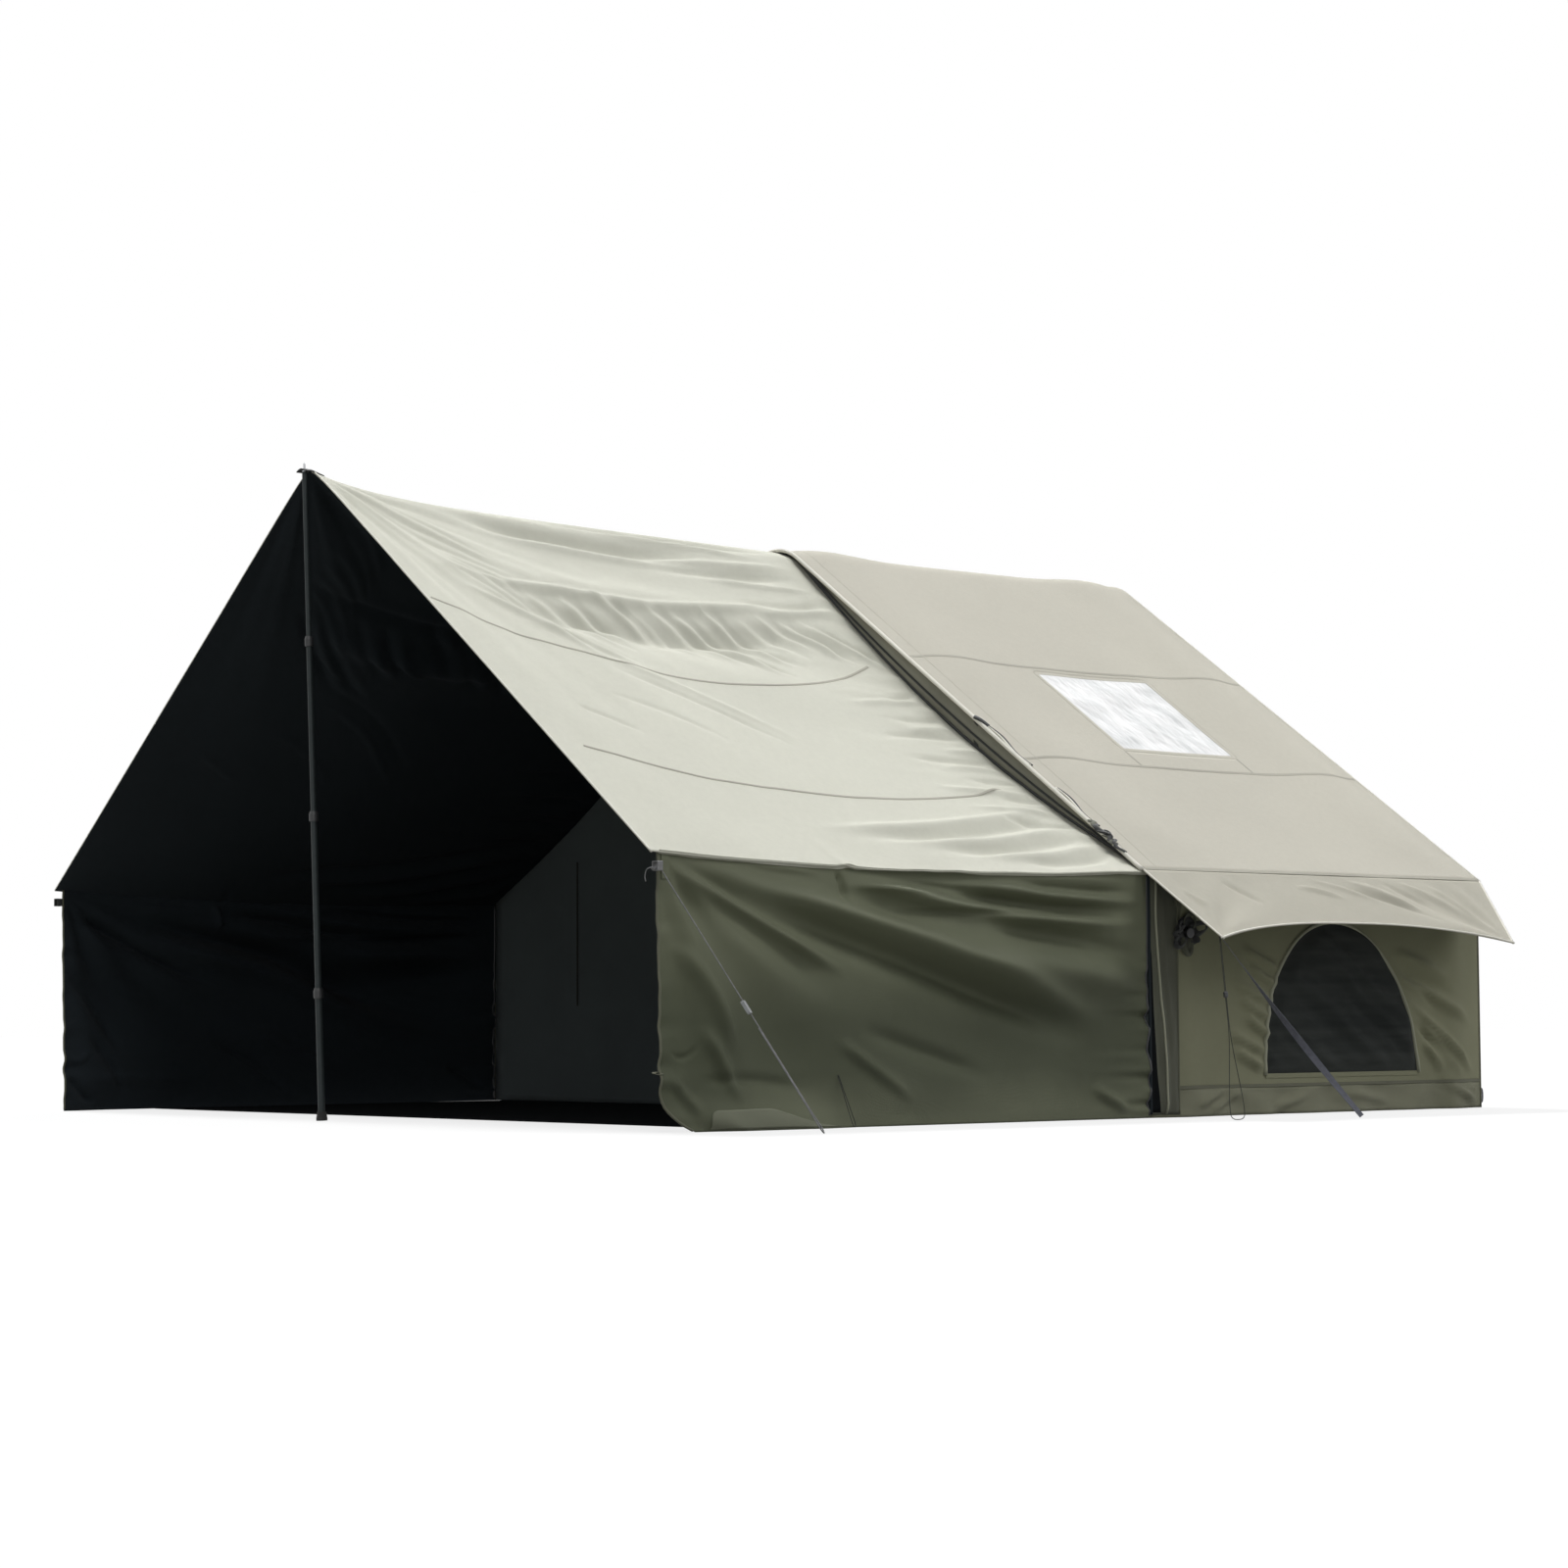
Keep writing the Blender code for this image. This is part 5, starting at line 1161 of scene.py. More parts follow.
def awning_seam_line(side, start, end, bow):
    share = np.linspace(0, 1, 90)
    x = start[0] + (end[0] - start[0]) * share + 4 * bow * share * (1 - share)
    y = start[1] + (end[1] - start[1]) * share
    along = (y - apex_y) / (awning_back_y - apex_y)
    across = x / awning_half_width(along)
    along = (y - awning_front_y(across)) / (awning_back_y - awning_front_y(across))
    return on_awning_roof(side, across, np.clip(along, 0.003, 1), -0.0004)


def build_awning():
    """Roof and wall on each side, with seams, piping, hems, the patch on the wall's foot and the zip."""
    across = np.concatenate([np.linspace(0, 0.12, 26), np.linspace(0.12, 1.0, 200)[1:]])
    roof_cells = grid(across, np.linspace(0, 1, 240))
    wall_cells = grid(np.linspace(0, 1, 240), np.linspace(0, 1, 110))
    patch_cells = grid(np.linspace(0.035, 0.30, 70), np.linspace(0, 1, 10))
    hem_cells = grid(np.linspace(0.002, 0.998, 260), np.linspace(0, 1, 7))
    for side, word in sides:
        outward = (side, 0, 0)
        roof = cloth_piece("awning_sheet_" + word, roof_cells, partial(on_awning_roof, side), awning_cloth,
                           black_lining, (0, 0, 1))
        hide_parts("awning_roof_" + word)
        wall = cloth_piece("awning_side_" + word, wall_cells, partial(on_awning_wall, side),
                           awning_wall_cloth, black_lining, outward)
        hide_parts("awning_wall_" + word)
        a = np.linspace(0.004, 1, 120)
        line = on_awning_roof(side, a, same(a, 0.002), -0.002 if side > 0 else 0.003)
        tube("awning_edge_piping_" + word, line, piping, piping_cloth)
        for number, seam in enumerate(awning_seams):
            ribbon(f"awning_seam_{number}_{word}", awning_seam_line(side, *seam), *awning_seam, seam_cloth,
                   roof_normal[side])
        cloth_piece("hem_patch_" + word, patch_cells, partial(on_hem_patch, side), patch_cloth, None, outward,
                    patch_thickness)
        cloth_piece("eave_hem_" + word, hem_cells, partial(on_eave_hem, side), awning_cloth, None, outward,
                    hem_thickness)
        up = np.linspace(0.006, 1, 60)
        line = on_awning_wall(side, same(up, 0.001), up, 0.001)
        tube("awning_wall_piping_" + word, line, piping, green_piping)
        line = on_awning_wall(side, same(up, 0.999), up * 0.985 + 0.006, 0.001)
        tube("awning_zip_" + word, line, zip_bead, black_moulding)


def on_gusset(side, x, up):
    across = x / float(awning_half_width(1.0))
    low = awning_top(across, np.ones_like(across)) + 0.001
    high = roof_height(x) - 0.0055
    y = cabin_y - 0.006 - 0.016 * np.sin(math.pi * up) * ease((high - low) / 0.1)
    return np.stack([side * x, y, low + (high - low) * up], 1)


def build_gusset():
    """The band that closes the notch between the awning's and the cabin's roof, with its zip and cord."""
    x = along_line(0.04, 2.10)
    cells = weld(grid(x, np.linspace(0, 1, 8)))
    for side, word in sides:
        cloth_piece("gusset_" + word, cells, partial(on_gusset, side), gusset_cloth, None, (0, -1, 0),
                    thin_thickness)
        foot = on_gusset(side, x, same(x, 0.0)) + np.array([0, 0, 0.005])
        foot[:, 1] = cabin_y - 0.010
        tube("gusset_zip_" + word, foot, gusset_bead, black_moulding)
        middle = on_gusset(side, x, same(x, 0.42)) + np.array([0, -0.002, 0])
        tube("gusset_cord_" + word, middle, zip_bead, dark_web)


# Ropes, cords and straps

def smooth_route(points, steps=6):
    """Points on a smooth curve through a route's own points."""
    route = np.asarray(points, float)
    ends = np.vstack([2 * route[0] - route[1], route, 2 * route[-1] - route[-2]])
    found = []
    for before, start, end, after in zip(ends, ends[1:], ends[2:], ends[3:]):
        for t in np.arange(steps) / steps:
            bent = (2 * before - 5 * start + 4 * end - after) * t * t
            found.append(0.5 * (2 * start + (end - before) * t + bent
                                + (3 * start - before - 3 * end + after) * t**3))
    return np.array(found + [route[-1]])


def even_steps(points, step):
    """The same line with points at an even distance."""
    points = np.asarray(points, float)
    reach = np.concatenate([[0.0], np.cumsum(np.linalg.norm(np.diff(points, axis=0), axis=1))])
    places = np.linspace(0.0, reach[-1], max(2, int(reach[-1] / step)))
    return np.stack([np.interp(places, reach, points[:, k]) for k in range(3)], 1), reach[-1]


def on_ground(top, reach, height):
    """The lower end of a rope, this far out and back from its top."""
    return np.array([top[0] + reach[0], top[1] + reach[1], height])


def across_way(top, ground):
    """Level, and square to the rope."""
    across = np.cross(ground - top, [0.0, 0.0, 1.0])
    return across / np.linalg.norm(across)


def doubled_route(top, ground, strand, tail=0.0):
    """Down one strand of a doubled cord, round its end on the ground and up the other to its tail."""
    down, across = ground - top, across_way(top, ground)
    one = [top + down * share - across * aside for share, aside in strand]
    other = [top + down * share + across * aside for share, aside in strand[:-1] if share >= tail]
    return one + other[::-1]


def laid_rope(name, points, radius, material, pitch, step):
    """A rope of three twisted strands along a line, with its length."""
    line, length = even_steps(points, step)
    side, normal = frames_along(line)
    count = 12
    turn = np.linspace(0, 2 * math.pi, count, endpoint=False)[None, :]
    along = np.linspace(0, length, len(line))[:, None]
    reach = radius * (0.84 + 0.20 * np.abs(np.cos(1.5 * (turn - 2 * math.pi * along / pitch))))
    across = (np.cos(turn) * reach)[:, :, None] * side[:, None, :]
    high = (np.sin(turn) * reach)[:, :, None] * normal[:, None, :]
    rings = line[:, None, :] + across + high
    rope = mesh_piece(name, rings.reshape(-1, 3), ring_faces(len(line), count), [material])
    return rope, line, length


def loop_place():
    """The inner middle of the right corner loop."""
    return np.array([awning_front_width / 2 - 0.012 + 0.0035, corner_y + 0.012, float(wall_top(0.0)) - 0.055])


def loop_outline():
    """The middle of the loop's webbing as out and up from its inner edge, round its four corners."""
    reach = loop_corner - 0.003
    far, high = loop_size - loop_corner, loop_size / 2 - loop_corner
    corners = ((far, high), (loop_corner, high), (loop_corner, -high), (far, -high))
    line = []
    for number, (out, up) in enumerate(corners):
        for turn in np.linspace(0, math.pi / 2, 6) + number * math.pi / 2:
            line.append((out + reach * math.cos(turn), up + reach * math.sin(turn)))
    return line


def build_corner_loops():
    """A webbing loop under each front corner of the awning, and the patch that holds it."""
    place = loop_place()
    line = loop_outline()
    rows, count = len(line), 10
    for side, word in sides:
        vertices, faces = [], []
        for out, up in line:
            scale = math.hypot(out - loop_size / 2, up)
            way = ((out - loop_size / 2) / scale, up / scale)
            for lift, start, end in zip(loop_skin, (loop_width, 0), (0, loop_width)):
                x, z = place[0] + out + way[0] * lift, place[2] + up + way[1] * lift
                vertices += [(side * x, place[1] + y, z) for y in np.linspace(start, end, 5)]
        for row in range(rows):
            for k in range(count):
                after, low, high = (k + 1) % count, row * count, (row + 1) % rows * count
                faces.append((low + k, high + k, high + after, low + after))
        webbing = rope_web if side > 0 else dark_web
        loop = sharpen(mesh_piece("corner_webbing_" + word, vertices, faces, [webbing]))
        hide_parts("corner_loop_" + word)
        up = np.linspace(0.90, 0.985, 12)
        patch = on_awning_wall(side, same(up, 0.014), up, -0.0012)
        ribbon("corner_patch_" + word, patch, *corner_patch, awning_wall_cloth, (side, 0, 0))


# One strand of each doubled cord: share of the way down, and how far aside it lies
rope_strand = [(0.0, 0.006), (0.20, 0.006), (0.40, 0.006), (0.60, 0.006), (0.85, 0.006), (0.92, 0.0075),
               (0.95, 0.0115), (0.97, 0.0120), (0.985, 0.0105), (0.994, 0.0075), (1.0, 0.0)]
corner_strand = [(0.0, 0.0028), (0.15, 0.0028), (0.30, 0.0028), (0.50, 0.0028), (0.62, 0.010), (0.75, 0.023),
                 (0.88, 0.036), (0.96, 0.039), (0.985, 0.034), (0.997, 0.021), (1.0, 0.0)]
hem_strand = [(0.0, 0.005), (0.25, 0.006), (0.50, 0.010), (0.80, 0.014), (0.90, 0.0145), (0.96, 0.013),
              (0.99, 0.008), (1.0, 0.0)]


def build_guy_rope():
    bar = 0.006
    half = loop_size / 2
    over_bar = loop_place() + np.array([half, 0.0, -half + bar + rope_radius + 2 * gap])
    bends = ((-0.2, -bar), (-0.05, 0.0), (0.5, 0.0), (1.25, 0.0))
    hook = [over_bar + np.array([0.0, loop_width * back, drop]) for back, drop in bends]
    top = over_bar + np.array([0.006, 0.033, -0.018])
    ground = on_ground(top, rope_reach, rope_radius + ground_gap)
    route = smooth_route(hook + doubled_route(top, ground, rope_strand, rope_tail))
    rope, line, length = laid_rope("front_guy_rope", route, rope_radius, rope_web, rope_pitch, rope_step)
    knot = []
    for turn in np.linspace(0, 2 * math.pi, 60):
        reach = 0.0052 + 0.0026 * math.cos(3 * turn)
        knot.append(over_bar + np.array([reach * math.cos(2 * turn), reach * math.sin(2 * turn) - 0.004,
                                         0.0034 * math.sin(3 * turn) + 0.001]))
    tail = [(0, 0, 0), (-0.010, -0.010, 0.003), (-0.022, -0.016, -0.002), (-0.030, -0.017, -0.014),
            (-0.034, -0.016, -0.030), (-0.031, -0.015, -0.044)]
    knot_piece = tube("guy_rope_knot", knot, rope_radius, rope_web)
    tail_piece = tube("guy_rope_tail", smooth_route(over_bar + np.array(tail)), rope_radius * 0.9, rope_web)
    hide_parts("guy_rope")


def flap_corner():
    x = half_width + gap / 2 + flap_reach + flap_corner_reach
    return np.array([x, roof_front + flap_front_inset, float(roof_height(x))])


def build_eave_strap():
    """The flat strap, which turns on its way down from the buckle."""
    corner, half = flap_corner(), 0.017
    inset = half * 0.8
    ground = on_ground(corner, strap_reach, strap_width / 2 + ground_gap)
    under = float(roof_height(corner[0] - inset + half * math.sqrt(0.5))) - cloth
    top = np.array([corner[0] - inset, corner[1] + inset, under - 0.0015 - gap])
    down = (ground - top) / np.linalg.norm(ground - top)
    across = across_way(top, ground)
    thick = np.cross(across, down)
    start = 0.034 + gap
    length = np.linalg.norm(ground - top) - start
    half_w, half_t = strap_width / 2, strap_thickness / 2
    widths = [half_w * share for share in (-1, -0.5, 0, 0.5, 1)]
    outline = [(a, -half_t) for a in widths] + [(a, half_t) for a in reversed(widths)]
    vertices, centre, steps = [], [], 110
    for along in np.linspace(0, 1, steps + 1):
        turn = 2 * math.pi * strap_turns * float(ease(along))
        sag = strap_sag * math.sin(math.pi * along)
        middle = top + down * (start + length * along) - np.array([0, 0, sag])
        centre.append(middle)
        for a, b in outline:
            wide = a * math.cos(turn) - b * math.sin(turn)
            high = a * math.sin(turn) + b * math.cos(turn)
            vertices.append(middle + across * wide + thick * high)
    strap = sharpen(mesh_piece("corner_strap", vertices, ring_faces(steps + 1, len(outline)), [strap_web]))
    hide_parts("eave_strap")


def build_thin_cords():
    corner = flap_corner() + np.array([-0.022, 0.006, 0.0])
    top = np.array([corner[0], corner[1], float(roof_height(corner[0])) - cloth - cord_radius - gap])
    ground = on_ground(top, corner_cord_reach, cord_radius + ground_gap)
    hem_top = on_awning_wall(1, np.array([1 / 3]), np.array([0.2]), -3 * cord_radius)[0]
    hem_top[2] = 0.186
    hem_ground = on_ground(hem_top, hem_cord_reach, cord_radius + ground_gap)
    for name, node, line, material in (
            ("corner_thin_cord", "corner_cord", doubled_route(top, ground, corner_strand), cord_web),
            ("hem_thin_cord", "hem_cord", doubled_route(hem_top, hem_ground, hem_strand), hem_cord_web)):
        cord, path, length = laid_rope(name, smooth_route(line), cord_radius, material, cord_pitch, cord_step)
        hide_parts(node)


# Apex, junction and small webbing

def build_apex_tab():
    tip_y = apex_y - 0.024
    centre = (0.0, tip_y)
    spike_hole = 0.0053
    hole = [(spike_hole * math.cos(turn), tip_y + spike_hole * math.sin(turn))
            for turn in np.linspace(0, 2 * math.pi, 17)[:-1]]
    edge = [(x, y) for x in np.linspace(-tab_half, tab_half, 15) for y in (tab_front, tab_back)]
    edge += [(x, y) for x in (-tab_half, tab_half) for y in np.linspace(tab_front, tab_back, 18)]

    def on_tab(x, y):
        along = np.maximum(y - apex_y, 0.0) / (awning_back_y - apex_y)
        return np.stack([x, y, awning_top(np.abs(x) / (awning_front_width / 2), along) + cloth + 0.0007], 1)

    cells = weld(ring(by_angle(centre, edge), centre, hole, 8))
    tab = cloth_piece("apex_webbing", cells, on_tab, dark_web, None, (0, 0, 1), tab_thickness)
    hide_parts("apex_tab")


def roof_edge_point(side, x, back=0.0, lift=0.0):
    """A point on the cabin roof, this far behind its front edge."""
    placed = on_cabin_roof(np.array([side * x]), np.array([roof_front + back]))[0]
    return placed + np.array([side * math.sin(roof_angle), 0, math.cos(roof_angle)]) * lift


def build_tie(side, word):
    """The webbing tie across the notch between the awning's roof and the cabin's."""
    y = cabin_y - roof_overhang / 4
    low_z = float(awning_top(tie_line / float(awning_half_width(1.0)), 1.0)) + 0.004
    top_z = float(roof_height(tie_line)) - cloth - gap
    z = np.linspace(low_z, top_z, 20)
    bow = 0.004 * np.sin(math.pi * (z - low_z) / (top_z - low_z))
    line = np.stack([same(z, side * tie_line), y - 0.002 - bow, z], 1)
    tie = ribbon("tie_webbing_" + word, line, *tie_tape, dark_web, (0, -1, 0))
    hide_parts("junction_tie_" + word)


def build_toggle(side, word):
    """The toggle on the roof's front edge, and the two doubled cords beside it, each a light cord with a dark
    line behind it painted as its shadow.
    """
    toggle = [roof_edge_point(side, x, back, lift)
              for x, back, lift in zip(toggle_places, (-0.004, 0.004, 0.016), (0.006, 0.010, 0.006))]
    tube("toggle_" + word, smooth_route(toggle, 5), thick_piping, black_moulding, 12)
    for number, (start, end) in enumerate(toggle_cord_runs):
        x = np.linspace(start, end, 26)
        sway = 0.010 * np.sin(np.linspace(0, 2 * math.pi, 26))
        points = [roof_edge_point(side, a, 0.012 + b, 0.0050) for a, b in zip(x, sway)]
        # A dark line just behind each cord, painted as its shadow
        shade = [roof_edge_point(side, a, 0.024 + b * 1.3, 0.0045) for a, b in zip(x, sway)]
        tube(f"toggle_cord_{number}_{word}", points, 0.0042, piping_cloth)
        tube(f"toggle_cord_back_{number}_{word}", shade, thin_piping, dark_web)


def build_bundle(side, word):
    """The bundle of spare webbing near the eave, and its ring."""
    for number in range(bundle_strips):
        phase = 1.3 * number
        points = []
        for t in np.linspace(0, 1, 30):
            x = bundle_x + 0.030 * number * 0.75 + 0.055 * t
            back = -0.012 + 0.016 * math.sin(2 * math.pi * t + phase)
            lift = 0.004 + 0.010 * math.sin(math.pi * t) * (1 + 0.6 * math.sin(phase * 2.1))
            points.append(roof_edge_point(side, x, back, lift))
        upwards = (side * math.sin(roof_angle), -0.4 * math.sin(phase), math.cos(roof_angle))
        ribbon(f"tied_webbing_{number}_{word}", points, bundle_width - 0.001 * number, bundle_thickness,
               dark_web if number % 4 else strip_cloth, upwards, crown=0.002)
    line = [roof_edge_point(side, bundle_ring_x + 0.014 * math.cos(t), 0.002 + 0.016 * math.sin(t), 0.016)
            for t in np.linspace(0, 2 * math.pi, 30)]
    tube("tie_ring_" + word, line, thin_piping, black_moulding)


def build_junction():
    for side, word in sides:
        build_tie(side, word)
        build_toggle(side, word)
        build_bundle(side, word)


def build_peg_tabs():
    """Webbing tabs at the foot of the awning's front, on the right only, and at the cabin's back."""
    turn = np.linspace(0.2, 2 * math.pi - 0.2, 26)
    out, up = 0.5 * (1 - np.cos(turn)), np.sin(turn)
    foot = on_awning_wall(1, np.array([0.002]), np.array([0.21]), 0.004)[0]
    front = np.stack([foot[0] - 0.006 * up, foot[1] + 0.002 - 0.026 * out, foot[2] + 0.004 * up], 1)
    ribbon("peg_tab_front_right", front, *front_peg_tape, green_piping, (0, 0, 1))
    for side, word in sides:
        x = same(turn, side * (wall_x - 0.004))
        back = np.stack([x, back_y + 0.004 + 0.012 * out, 0.050 + 0.026 * up], 1)
        ribbon("peg_tab_back_" + word, back, *back_peg_tape, strap_web, (side, 0, 0))


# Air beams, valve, covers and ground sheets

def arch_path():
    """Centreline of an arch beam as x, z and outward angle: leg, bend, rafter, ridge, and down again."""
    leg_x = wall_x - cloth + leg_bulge - gap - beam_radius
    bend = 0.22
    inset = cloth * math.cos(roof_angle) + gap + beam_radius
    rafter = roof_peak_z * math.cos(roof_angle) - inset
    bend_x = leg_x - bend
    bend_z = (rafter - bend - bend_x * math.sin(roof_angle)) / math.cos(roof_angle)
    rafter_normal = math.pi / 2 - roof_angle
    top_radius = ridge_radius - cloth - gap - beam_radius
    half = [(leg_x, z, 0.0) for z in np.linspace(0.0043, bend_z, 24)[:-1]]
    for turn in np.linspace(0.0, rafter_normal, 16):
        half.append((bend_x + bend * math.cos(turn), bend_z + bend * math.sin(turn), turn))
    start = np.array(half[-1][:2])
    end = np.array([top_radius * math.cos(rafter_normal),
                    ridge_centre_z + top_radius * math.sin(rafter_normal)])
    for share in np.linspace(0, 1, 60)[1:-1]:
        x, z = start + (end - start) * share
        half.append((x, z, rafter_normal))
    for turn in np.linspace(rafter_normal, math.pi / 2, 10):
        half.append((top_radius * math.cos(turn), ridge_centre_z + top_radius * math.sin(turn), turn))
    return half + [(-x, z, math.pi - turn) for x, z, turn in reversed(half[:-1])]


def beam_piece(name, rows, material, thickness, closed):
    """A tube through rings of points; open ones get the cloth's thickness, closed ones have ends."""
    rings = np.array(rows)
    points = rings.reshape(-1, 3)
    faces = ring_faces(len(rings), rings.shape[1], closed)
    outward = points[faces[0][0]] - rings[0].mean(0)
    obj = mesh_piece(name, points, facing(points, faces, faces[0], outward), [material])
    if not closed:
        thicken(obj, thickness, -1)
    return obj


beam_parts = (("sleeve", beam_radius - sleeve_inset), ("bladder", beam_radius - bladder_inset))
beam_turns = np.linspace(0, 2 * math.pi, 28, endpoint=False)


def arch_ring(number, place, y, radius):
    """A ring of an arch beam; where the beam bends, its inner side is puckered."""
    x, z, outward = place
    bent = 0.4 < z / 2.4 < 0.52 or z > 2.2
    row = []
    for turn in beam_turns:
        pucker = 0.0012 * math.sin(2.4 * number) * (1 - math.cos(turn)) * bent
        bulk = radius - abs(pucker)
        reach = bulk * math.cos(turn)
        row.append((x + reach * math.cos(outward), y + bulk * math.sin(turn), z + reach * math.sin(outward)))
    return row


def build_beams():
    """Two arch beams and the ridge beam between them, each a sleeve round a bladder."""
    path = arch_path()
    for name, y in (("front", beam_front_y), ("rear", beam_back_y)):
        for part, radius in beam_parts:
            rows = [arch_ring(number, place, y, radius) for number, place in enumerate(path)]
            finish_beam(name, part, rows)
    centre_z = ridge_height - cloth - gap - beam_radius
    places = np.linspace(beam_front_y + beam_radius + gap, beam_back_y - beam_radius - gap, 40)
    for part, radius in beam_parts:
        circle = [(radius * math.cos(turn), centre_z + radius * math.sin(turn)) for turn in beam_turns]
        rows = [[(x, y, z) for x, z in circle] for y in places]
        finish_beam("ridge", part, rows)


def finish_beam(name, part, rows):
    if part == "sleeve":
        piece = beam_piece(f"{name}_tube_{part}", rows, beam_cloth, sleeve_thickness, False)
    else:
        piece = beam_piece(f"{name}_tube_{part}", rows, bladder_film, 0, True)
    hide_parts(f"{name}_beam_{part}")


def build_covers():
    """The windows' inner covers, folded down from their hinges at the sill."""
    rise = window_sill + window_rise + cover_margin - cover_hinge_height
    half = window_half + cover_margin
    droop = math.asin((cover_hinge_height - 0.0033 - cloth) / rise)
    centre = (0.0, rise * 0.4)
    outline = [(-half, 0.0)]
    for turn in np.linspace(math.pi, 0.0, 50):
        outline.append((half * math.cos(turn), (rise - cover_margin) * math.sin(turn) + cover_margin))
    outline += [(half, 0.0)] + [(x, 0.0) for x in np.linspace(half, -half, 30)[1:-1]]
    cells = weld(ring(by_angle(centre, outline), centre, None, 26))
    for side, word in sides:
        def on_cover(along, up, side=side):
            calm = ease(up / 0.1) * fade(half - np.abs(along), rise - up, width=0.06)
            lift = calm * 0.0012 * (1 + rumple(along, up, 0.16, 41))
            x = side * (wall_x - cloth - 0.003) - side * (up * math.cos(droop) + lift * math.sin(droop))
            z = cover_hinge_height - up * math.sin(droop) + lift * math.cos(droop) - 0.0006
            return np.stack([x, window_middle + along, z], 1)

        cover = cloth_piece("cover_sheet_" + word, cells, on_cover, wall_cloth, dark_lining, (0, 0, 1),
                            cover_thickness, word + "_window_cover")
        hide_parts("window_cover_" + word)


def build_ground_sheets():
    for name, node, low, high in (
            ("cabin_floor", "cabin_groundsheet", (-cabin_floor_half, cabin_y + gap),
             (cabin_floor_half, back_y - 0.0005)),
            ("awning_floor", "awning_groundsheet", (-awning_floor_half, front_y + awning_floor_inset),
             (awning_floor_half, awning_back_y))):
        def on_floor(x, y):
            soft = fade(x - low[0], high[0] - x, y - low[1], high[1] - y, width=0.06)
            return np.stack([x, y, 0.0024 + soft * 0.0009 * rumple(x, y, 0.22, 51)], 1)

        cells = grid(along_line(low[0], high[0], 0.03), along_line(low[1], high[1], 0.03))
        piece = cloth_piece(name, cells, on_floor, floor_cloth, None, (0, 0, 1), thin_thickness)
        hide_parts(node)


def build_zip_tape():
    """The door zip's tape, beside the door's free edge."""
    z = along_line(zip_tape_low, zip_tape_high, 0.01)
    line = np.stack([same(z, zip_tape_x), same(z, cabin_y - 0.0003), z], 1)
    tape = ribbon("zip_tape", line, *zip_tape, dark_web, (0, -1, 0))
    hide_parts("door_zip_tape")


def build_valve_hood():
    """A ragged dark ruffle round the valve, and the band of webbing that runs up from it."""
    leg_face = wall_x + leg_bulge
    turns = np.linspace(0, 2 * math.pi, hood_points, endpoint=False)
    shares = np.linspace(0, 1, hood_rings)
    vertices = []
    for share in shares:
        for turn in turns:
            ragged = float(noise(turn * 1.9 + 3, 0.3, 81)) + 0.6 * math.sin(turn * 3 + 2)
            reach = hood_inner + share * (hood_width + 0.012 * ragged)
            wave = 0.006 * float(rumple(reach * math.cos(turn), reach * math.sin(turn), 0.022, 83))
            out = leg_face + 0.0065 + float(ease(share * 1.5)) * wave - 0.002 * share
            vertices.append((out, beam_front_y + reach * math.sin(turn) * 1.05,
                             valve_height + reach * math.cos(turn)))
    hood = mesh_piece("valve_hood", vertices, ring_faces(len(shares), len(turns), False), [dark_web])
    thicken(hood, 0.0015, 0)
    for number in range(1, hood_ruffles + 1):
        build_valve_ruffle(number, leg_face)
    z = np.linspace(0.755, 0.935, 20)
    line = on_cabin_wall(1, same(z, beam_front_y - 0.045) + 0.03 * (z - 0.765) / 0.16, z)
    ribbon("valve_band", line, *valve_band, green_piping, (1, 0, 0))


def build_valve_ruffle(number, leg_face):
    """One bent strip of the ruffle; its number sets its turn, size and tilt."""
    turn = 2.4 * number
    points = []
    for t in np.linspace(0, 1, 24):
        reach = 0.026 + (0.034 + 0.022 * math.sin(1.7 * number)) * math.sin(math.pi * t) ** 2
        way = turn + (0.7 + 0.9 * math.sin(5.3 * number) ** 2) * t
        lift = 0.004 + 0.012 * math.sin(math.pi * t) * (1 + 0.8 * math.sin(3.1 * number + 5 * t))
        points.append((leg_face + lift, beam_front_y + 1.35 * reach * math.sin(way) - 0.006,
                       valve_height - 0.004 + reach * math.cos(way)))
    tilt = (1.0, 1.5 * math.sin(turn * 1.7), 1.5 * math.cos(turn * 1.7))
    material = strip_cloth if number % 4 == 1 else dark_web
    ribbon(f"valve_ruffle_{number}", points, *ruffle_tape, material, tilt, crown=0.004)


def repaint(material, *nodes):
    """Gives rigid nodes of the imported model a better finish; their meshes stay as they are."""
    for node in nodes:
        for slot in bpy.data.objects[node].material_slots:
            slot.link = "OBJECT"
            slot.material = material


def dress_rigid_nodes():
    repaint(pole_paint, *[f"pole_section_{number}" for number in range(1, 5)])
    repaint(black_moulding, *[f"pole_collar_{number}" for number in range(1, 4)])
    repaint(black_moulding, "door_zip_slider", "strap_buckle", "cord_lock", "valve_body", "valve_cap")
    repaint(grey_moulding, "rope_tensioner")
    repaint(foot_rubber, "pole_foot")
    repaint(spike_steel, "pole_spike")


build_cabin_roof()
build_roof_trim()
build_eave_flaps()
build_cabin_walls()
build_zip_flaps()
build_gables()
build_awning()
build_gusset()
build_corner_loops()
build_guy_rope()
build_eave_strap()
build_thin_cords()
build_apex_tab()
build_junction()
build_peg_tabs()
build_beams()
build_covers()
build_ground_sheets()
build_zip_tape()
build_valve_hood()
dress_rigid_nodes()


# Floor, light and camera

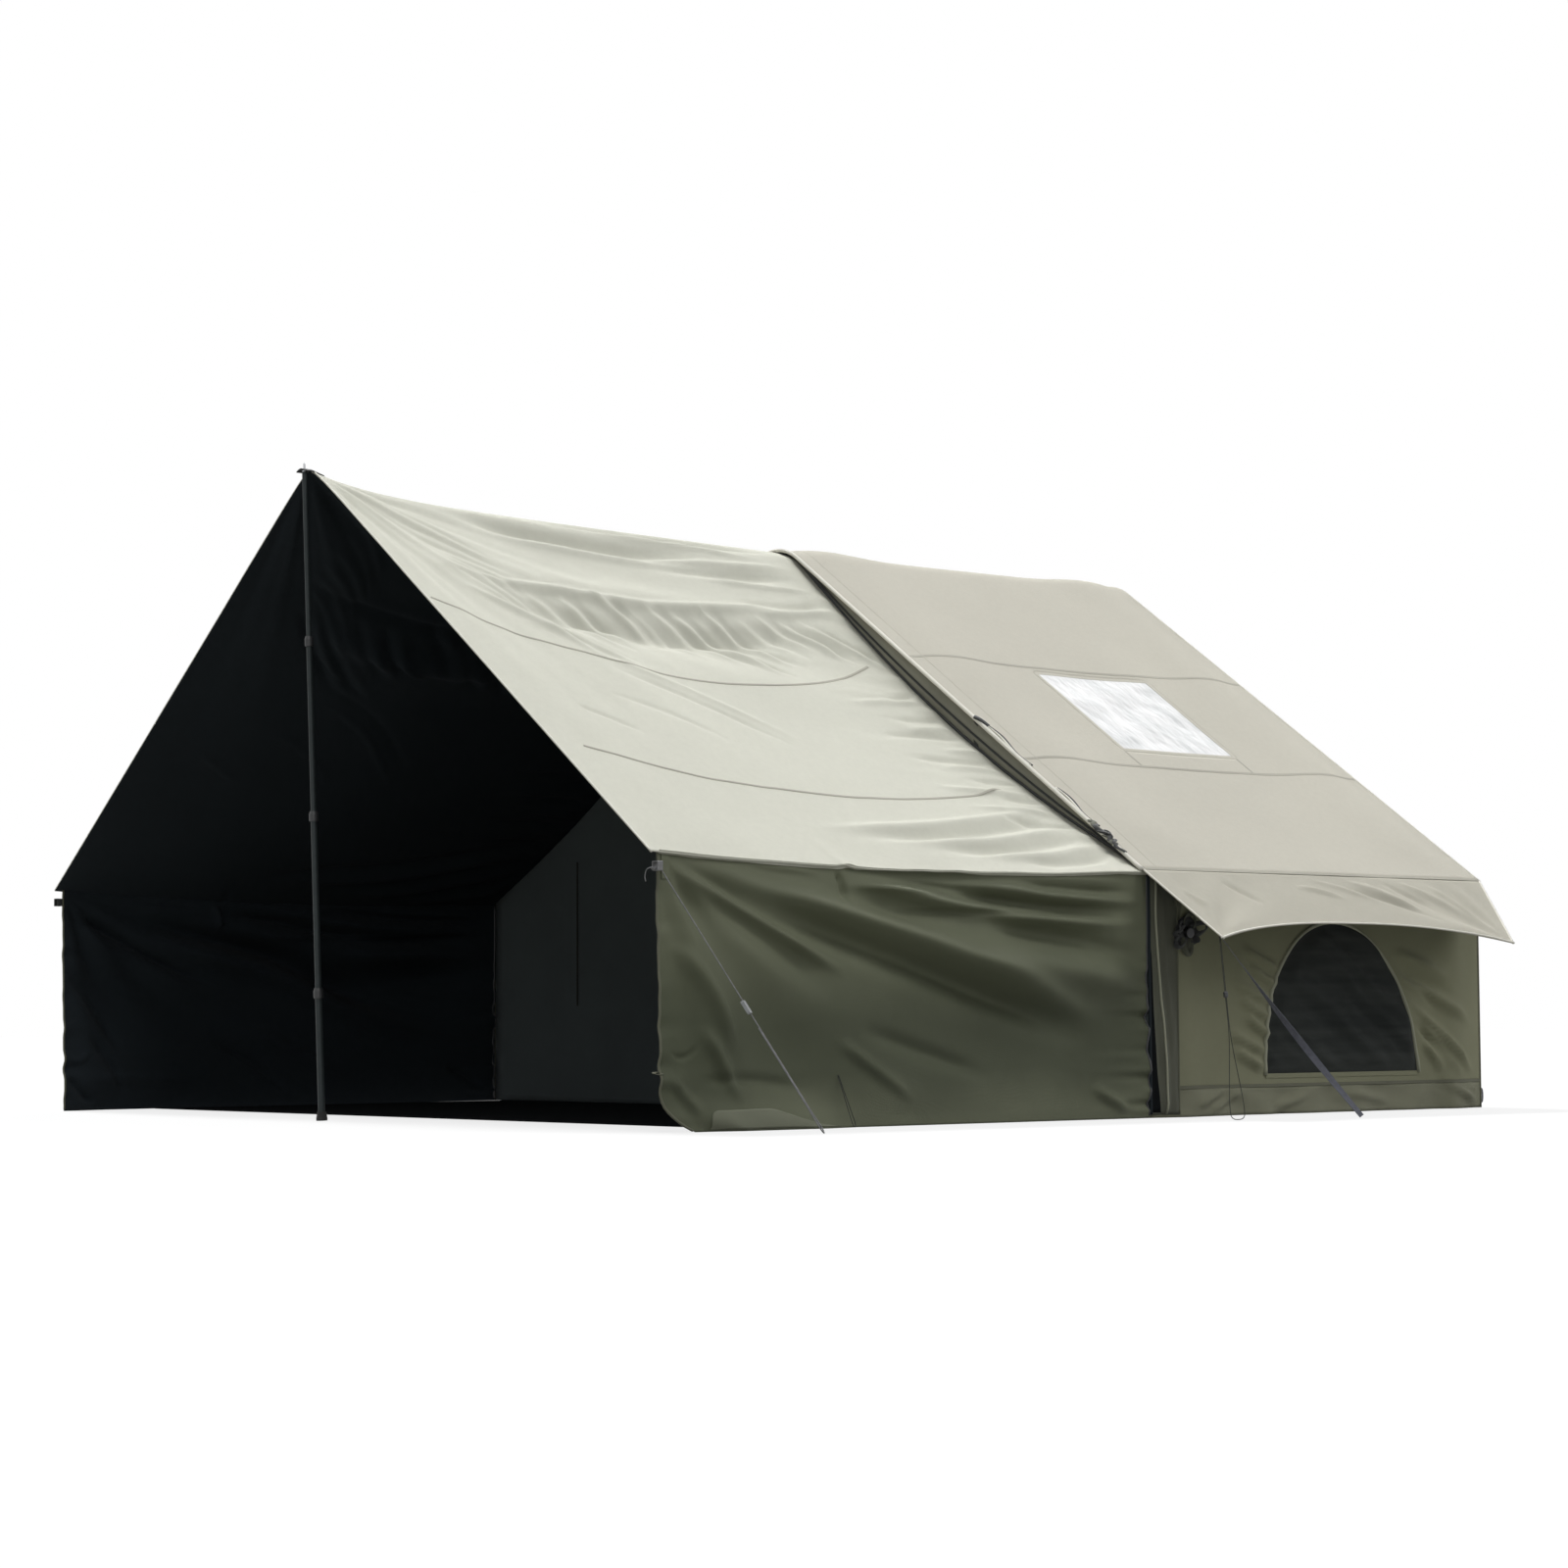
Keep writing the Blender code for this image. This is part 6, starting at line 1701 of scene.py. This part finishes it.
def show_by_ray(tree, lit, shown, output):
    """Joins two shaders: lit is what lights the tent, shown is what the camera, metal and film see."""
    path = tree.nodes.new("ShaderNodeLightPath")
    seen = path.outputs["Is Camera Ray"]
    for ray in ("Is Glossy Ray", "Is Transmission Ray"):
        largest = tree.nodes.new("ShaderNodeMath")
        largest.operation = "MAXIMUM"
        tree.links.new(seen, largest.inputs[0])
        tree.links.new(path.outputs[ray], largest.inputs[1])
        seen = largest.outputs[0]
    mix = tree.nodes.new("ShaderNodeMixShader")
    for source, socket in ((seen, mix.inputs[0]), (lit.outputs[0], mix.inputs[1]), (shown, mix.inputs[2]),
                           (mix.outputs[0], tree.nodes[output].inputs["Surface"])):
        tree.links.new(source, socket)


def build_stage():
    """A white floor that still shows the tent's shadow; only its bounce light is duller."""
    far, low = 60.0, -0.0005
    mesh = bpy.data.meshes.new("floor")
    corners = [(-far, -far, low), (far, -far, low), (far, far, low), (-far, far, low)]
    mesh.from_pydata(corners, [], [(0, 1, 2, 3)])
    floor = bpy.data.objects.new("floor", mesh)
    bpy.context.scene.collection.objects.link(floor)
    material = bpy.data.materials.new("floor")
    material.use_nodes = True
    tree = material.node_tree
    paper = tree.nodes["Principled BSDF"]
    paper.inputs["Base Color"].default_value = (0.82, 0.82, 0.82, 1)
    paper.inputs["Roughness"].default_value = 0.9
    paper.inputs["Specular IOR Level"].default_value = 0.0
    glow = tree.nodes.new("ShaderNodeEmission")
    white = tree.nodes.new("ShaderNodeMixShader")
    white.inputs[0].default_value = 0.80
    tree.links.new(paper.outputs[0], white.inputs[1])
    tree.links.new(glow.outputs[0], white.inputs[2])
    dull = tree.nodes.new("ShaderNodeBsdfDiffuse")
    dull.inputs["Color"].default_value = (0.20, 0.20, 0.18, 1)
    show_by_ray(tree, dull, white.outputs[0], "Material Output")
    mesh.materials.append(material)


# Lamps: name, direction that the light comes from, angle across in degrees, and strength
lamps = (("overhead", (-0.52, 0.0, 1.0), 13, 3.0), ("side", (1.0, -0.40, 2.0), 16, 0.70),
         ("right", (1.0, 0.75, 1.0), 30, 0.64), ("low", (1.0, -0.90, 0.55), 40, 0.28),
         ("back", (-0.55, 1.0, 0.80), 40, 0.90))


def build_light():
    world = bpy.data.worlds.new("sky")
    bpy.context.scene.world = world
    world.use_nodes = True
    tree = world.node_tree
    sky = tree.nodes["Background"]
    sky.inputs["Color"].default_value = (0.93, 0.96, 1.0, 1)
    sky.inputs["Strength"].default_value = 0.19
    white = tree.nodes.new("ShaderNodeBackground")
    white.inputs["Color"].default_value = (1, 1, 1, 1)
    show_by_ray(tree, sky, white.outputs[0], "World Output")
    for name, direction, angle, strength in lamps:
        lamp = bpy.data.lights.new(name, "SUN")
        lamp.energy = strength
        lamp.angle = math.radians(angle)
        obj = bpy.data.objects.new(name, lamp)
        obj.rotation_euler = Vector(direction).to_track_quat("Z", "Y").to_euler()
        bpy.context.scene.collection.objects.link(obj)


# The photo's camera: place, turns in degrees, and its focal length and width in the photo's pixels
camera_place = (11.1435, -9.1923, 0.3867)
camera_yaw, camera_pitch, camera_roll = (math.radians(angle) for angle in (-49.94, 3.99, -0.27))
focal_pixels, photo_pixels, sensor_width = 3428, 1600, 36


def build_camera():
    level_share = math.cos(camera_pitch)
    forward = Vector((math.sin(camera_yaw) * level_share, math.cos(camera_yaw) * level_share,
                      math.sin(camera_pitch)))
    level = forward.cross(Vector((0, 0, 1))).normalized()
    upright = level.cross(forward)
    right = level * math.cos(camera_roll) + upright * math.sin(camera_roll)
    up = upright * math.cos(camera_roll) - level * math.sin(camera_roll)
    data = bpy.data.cameras.new("camera")
    data.lens = sensor_width * focal_pixels / photo_pixels
    data.sensor_width = sensor_width
    data.clip_end = 200
    camera = bpy.data.objects.new("camera", data)
    turned = Matrix((right, up, -forward)).transposed().to_4x4()
    camera.matrix_world = Matrix.Translation(camera_place) @ turned
    bpy.context.scene.collection.objects.link(camera)
    bpy.context.scene.camera = camera


build_stage()
build_light()
build_camera()
bpy.context.scene.view_settings.view_transform = "Standard"
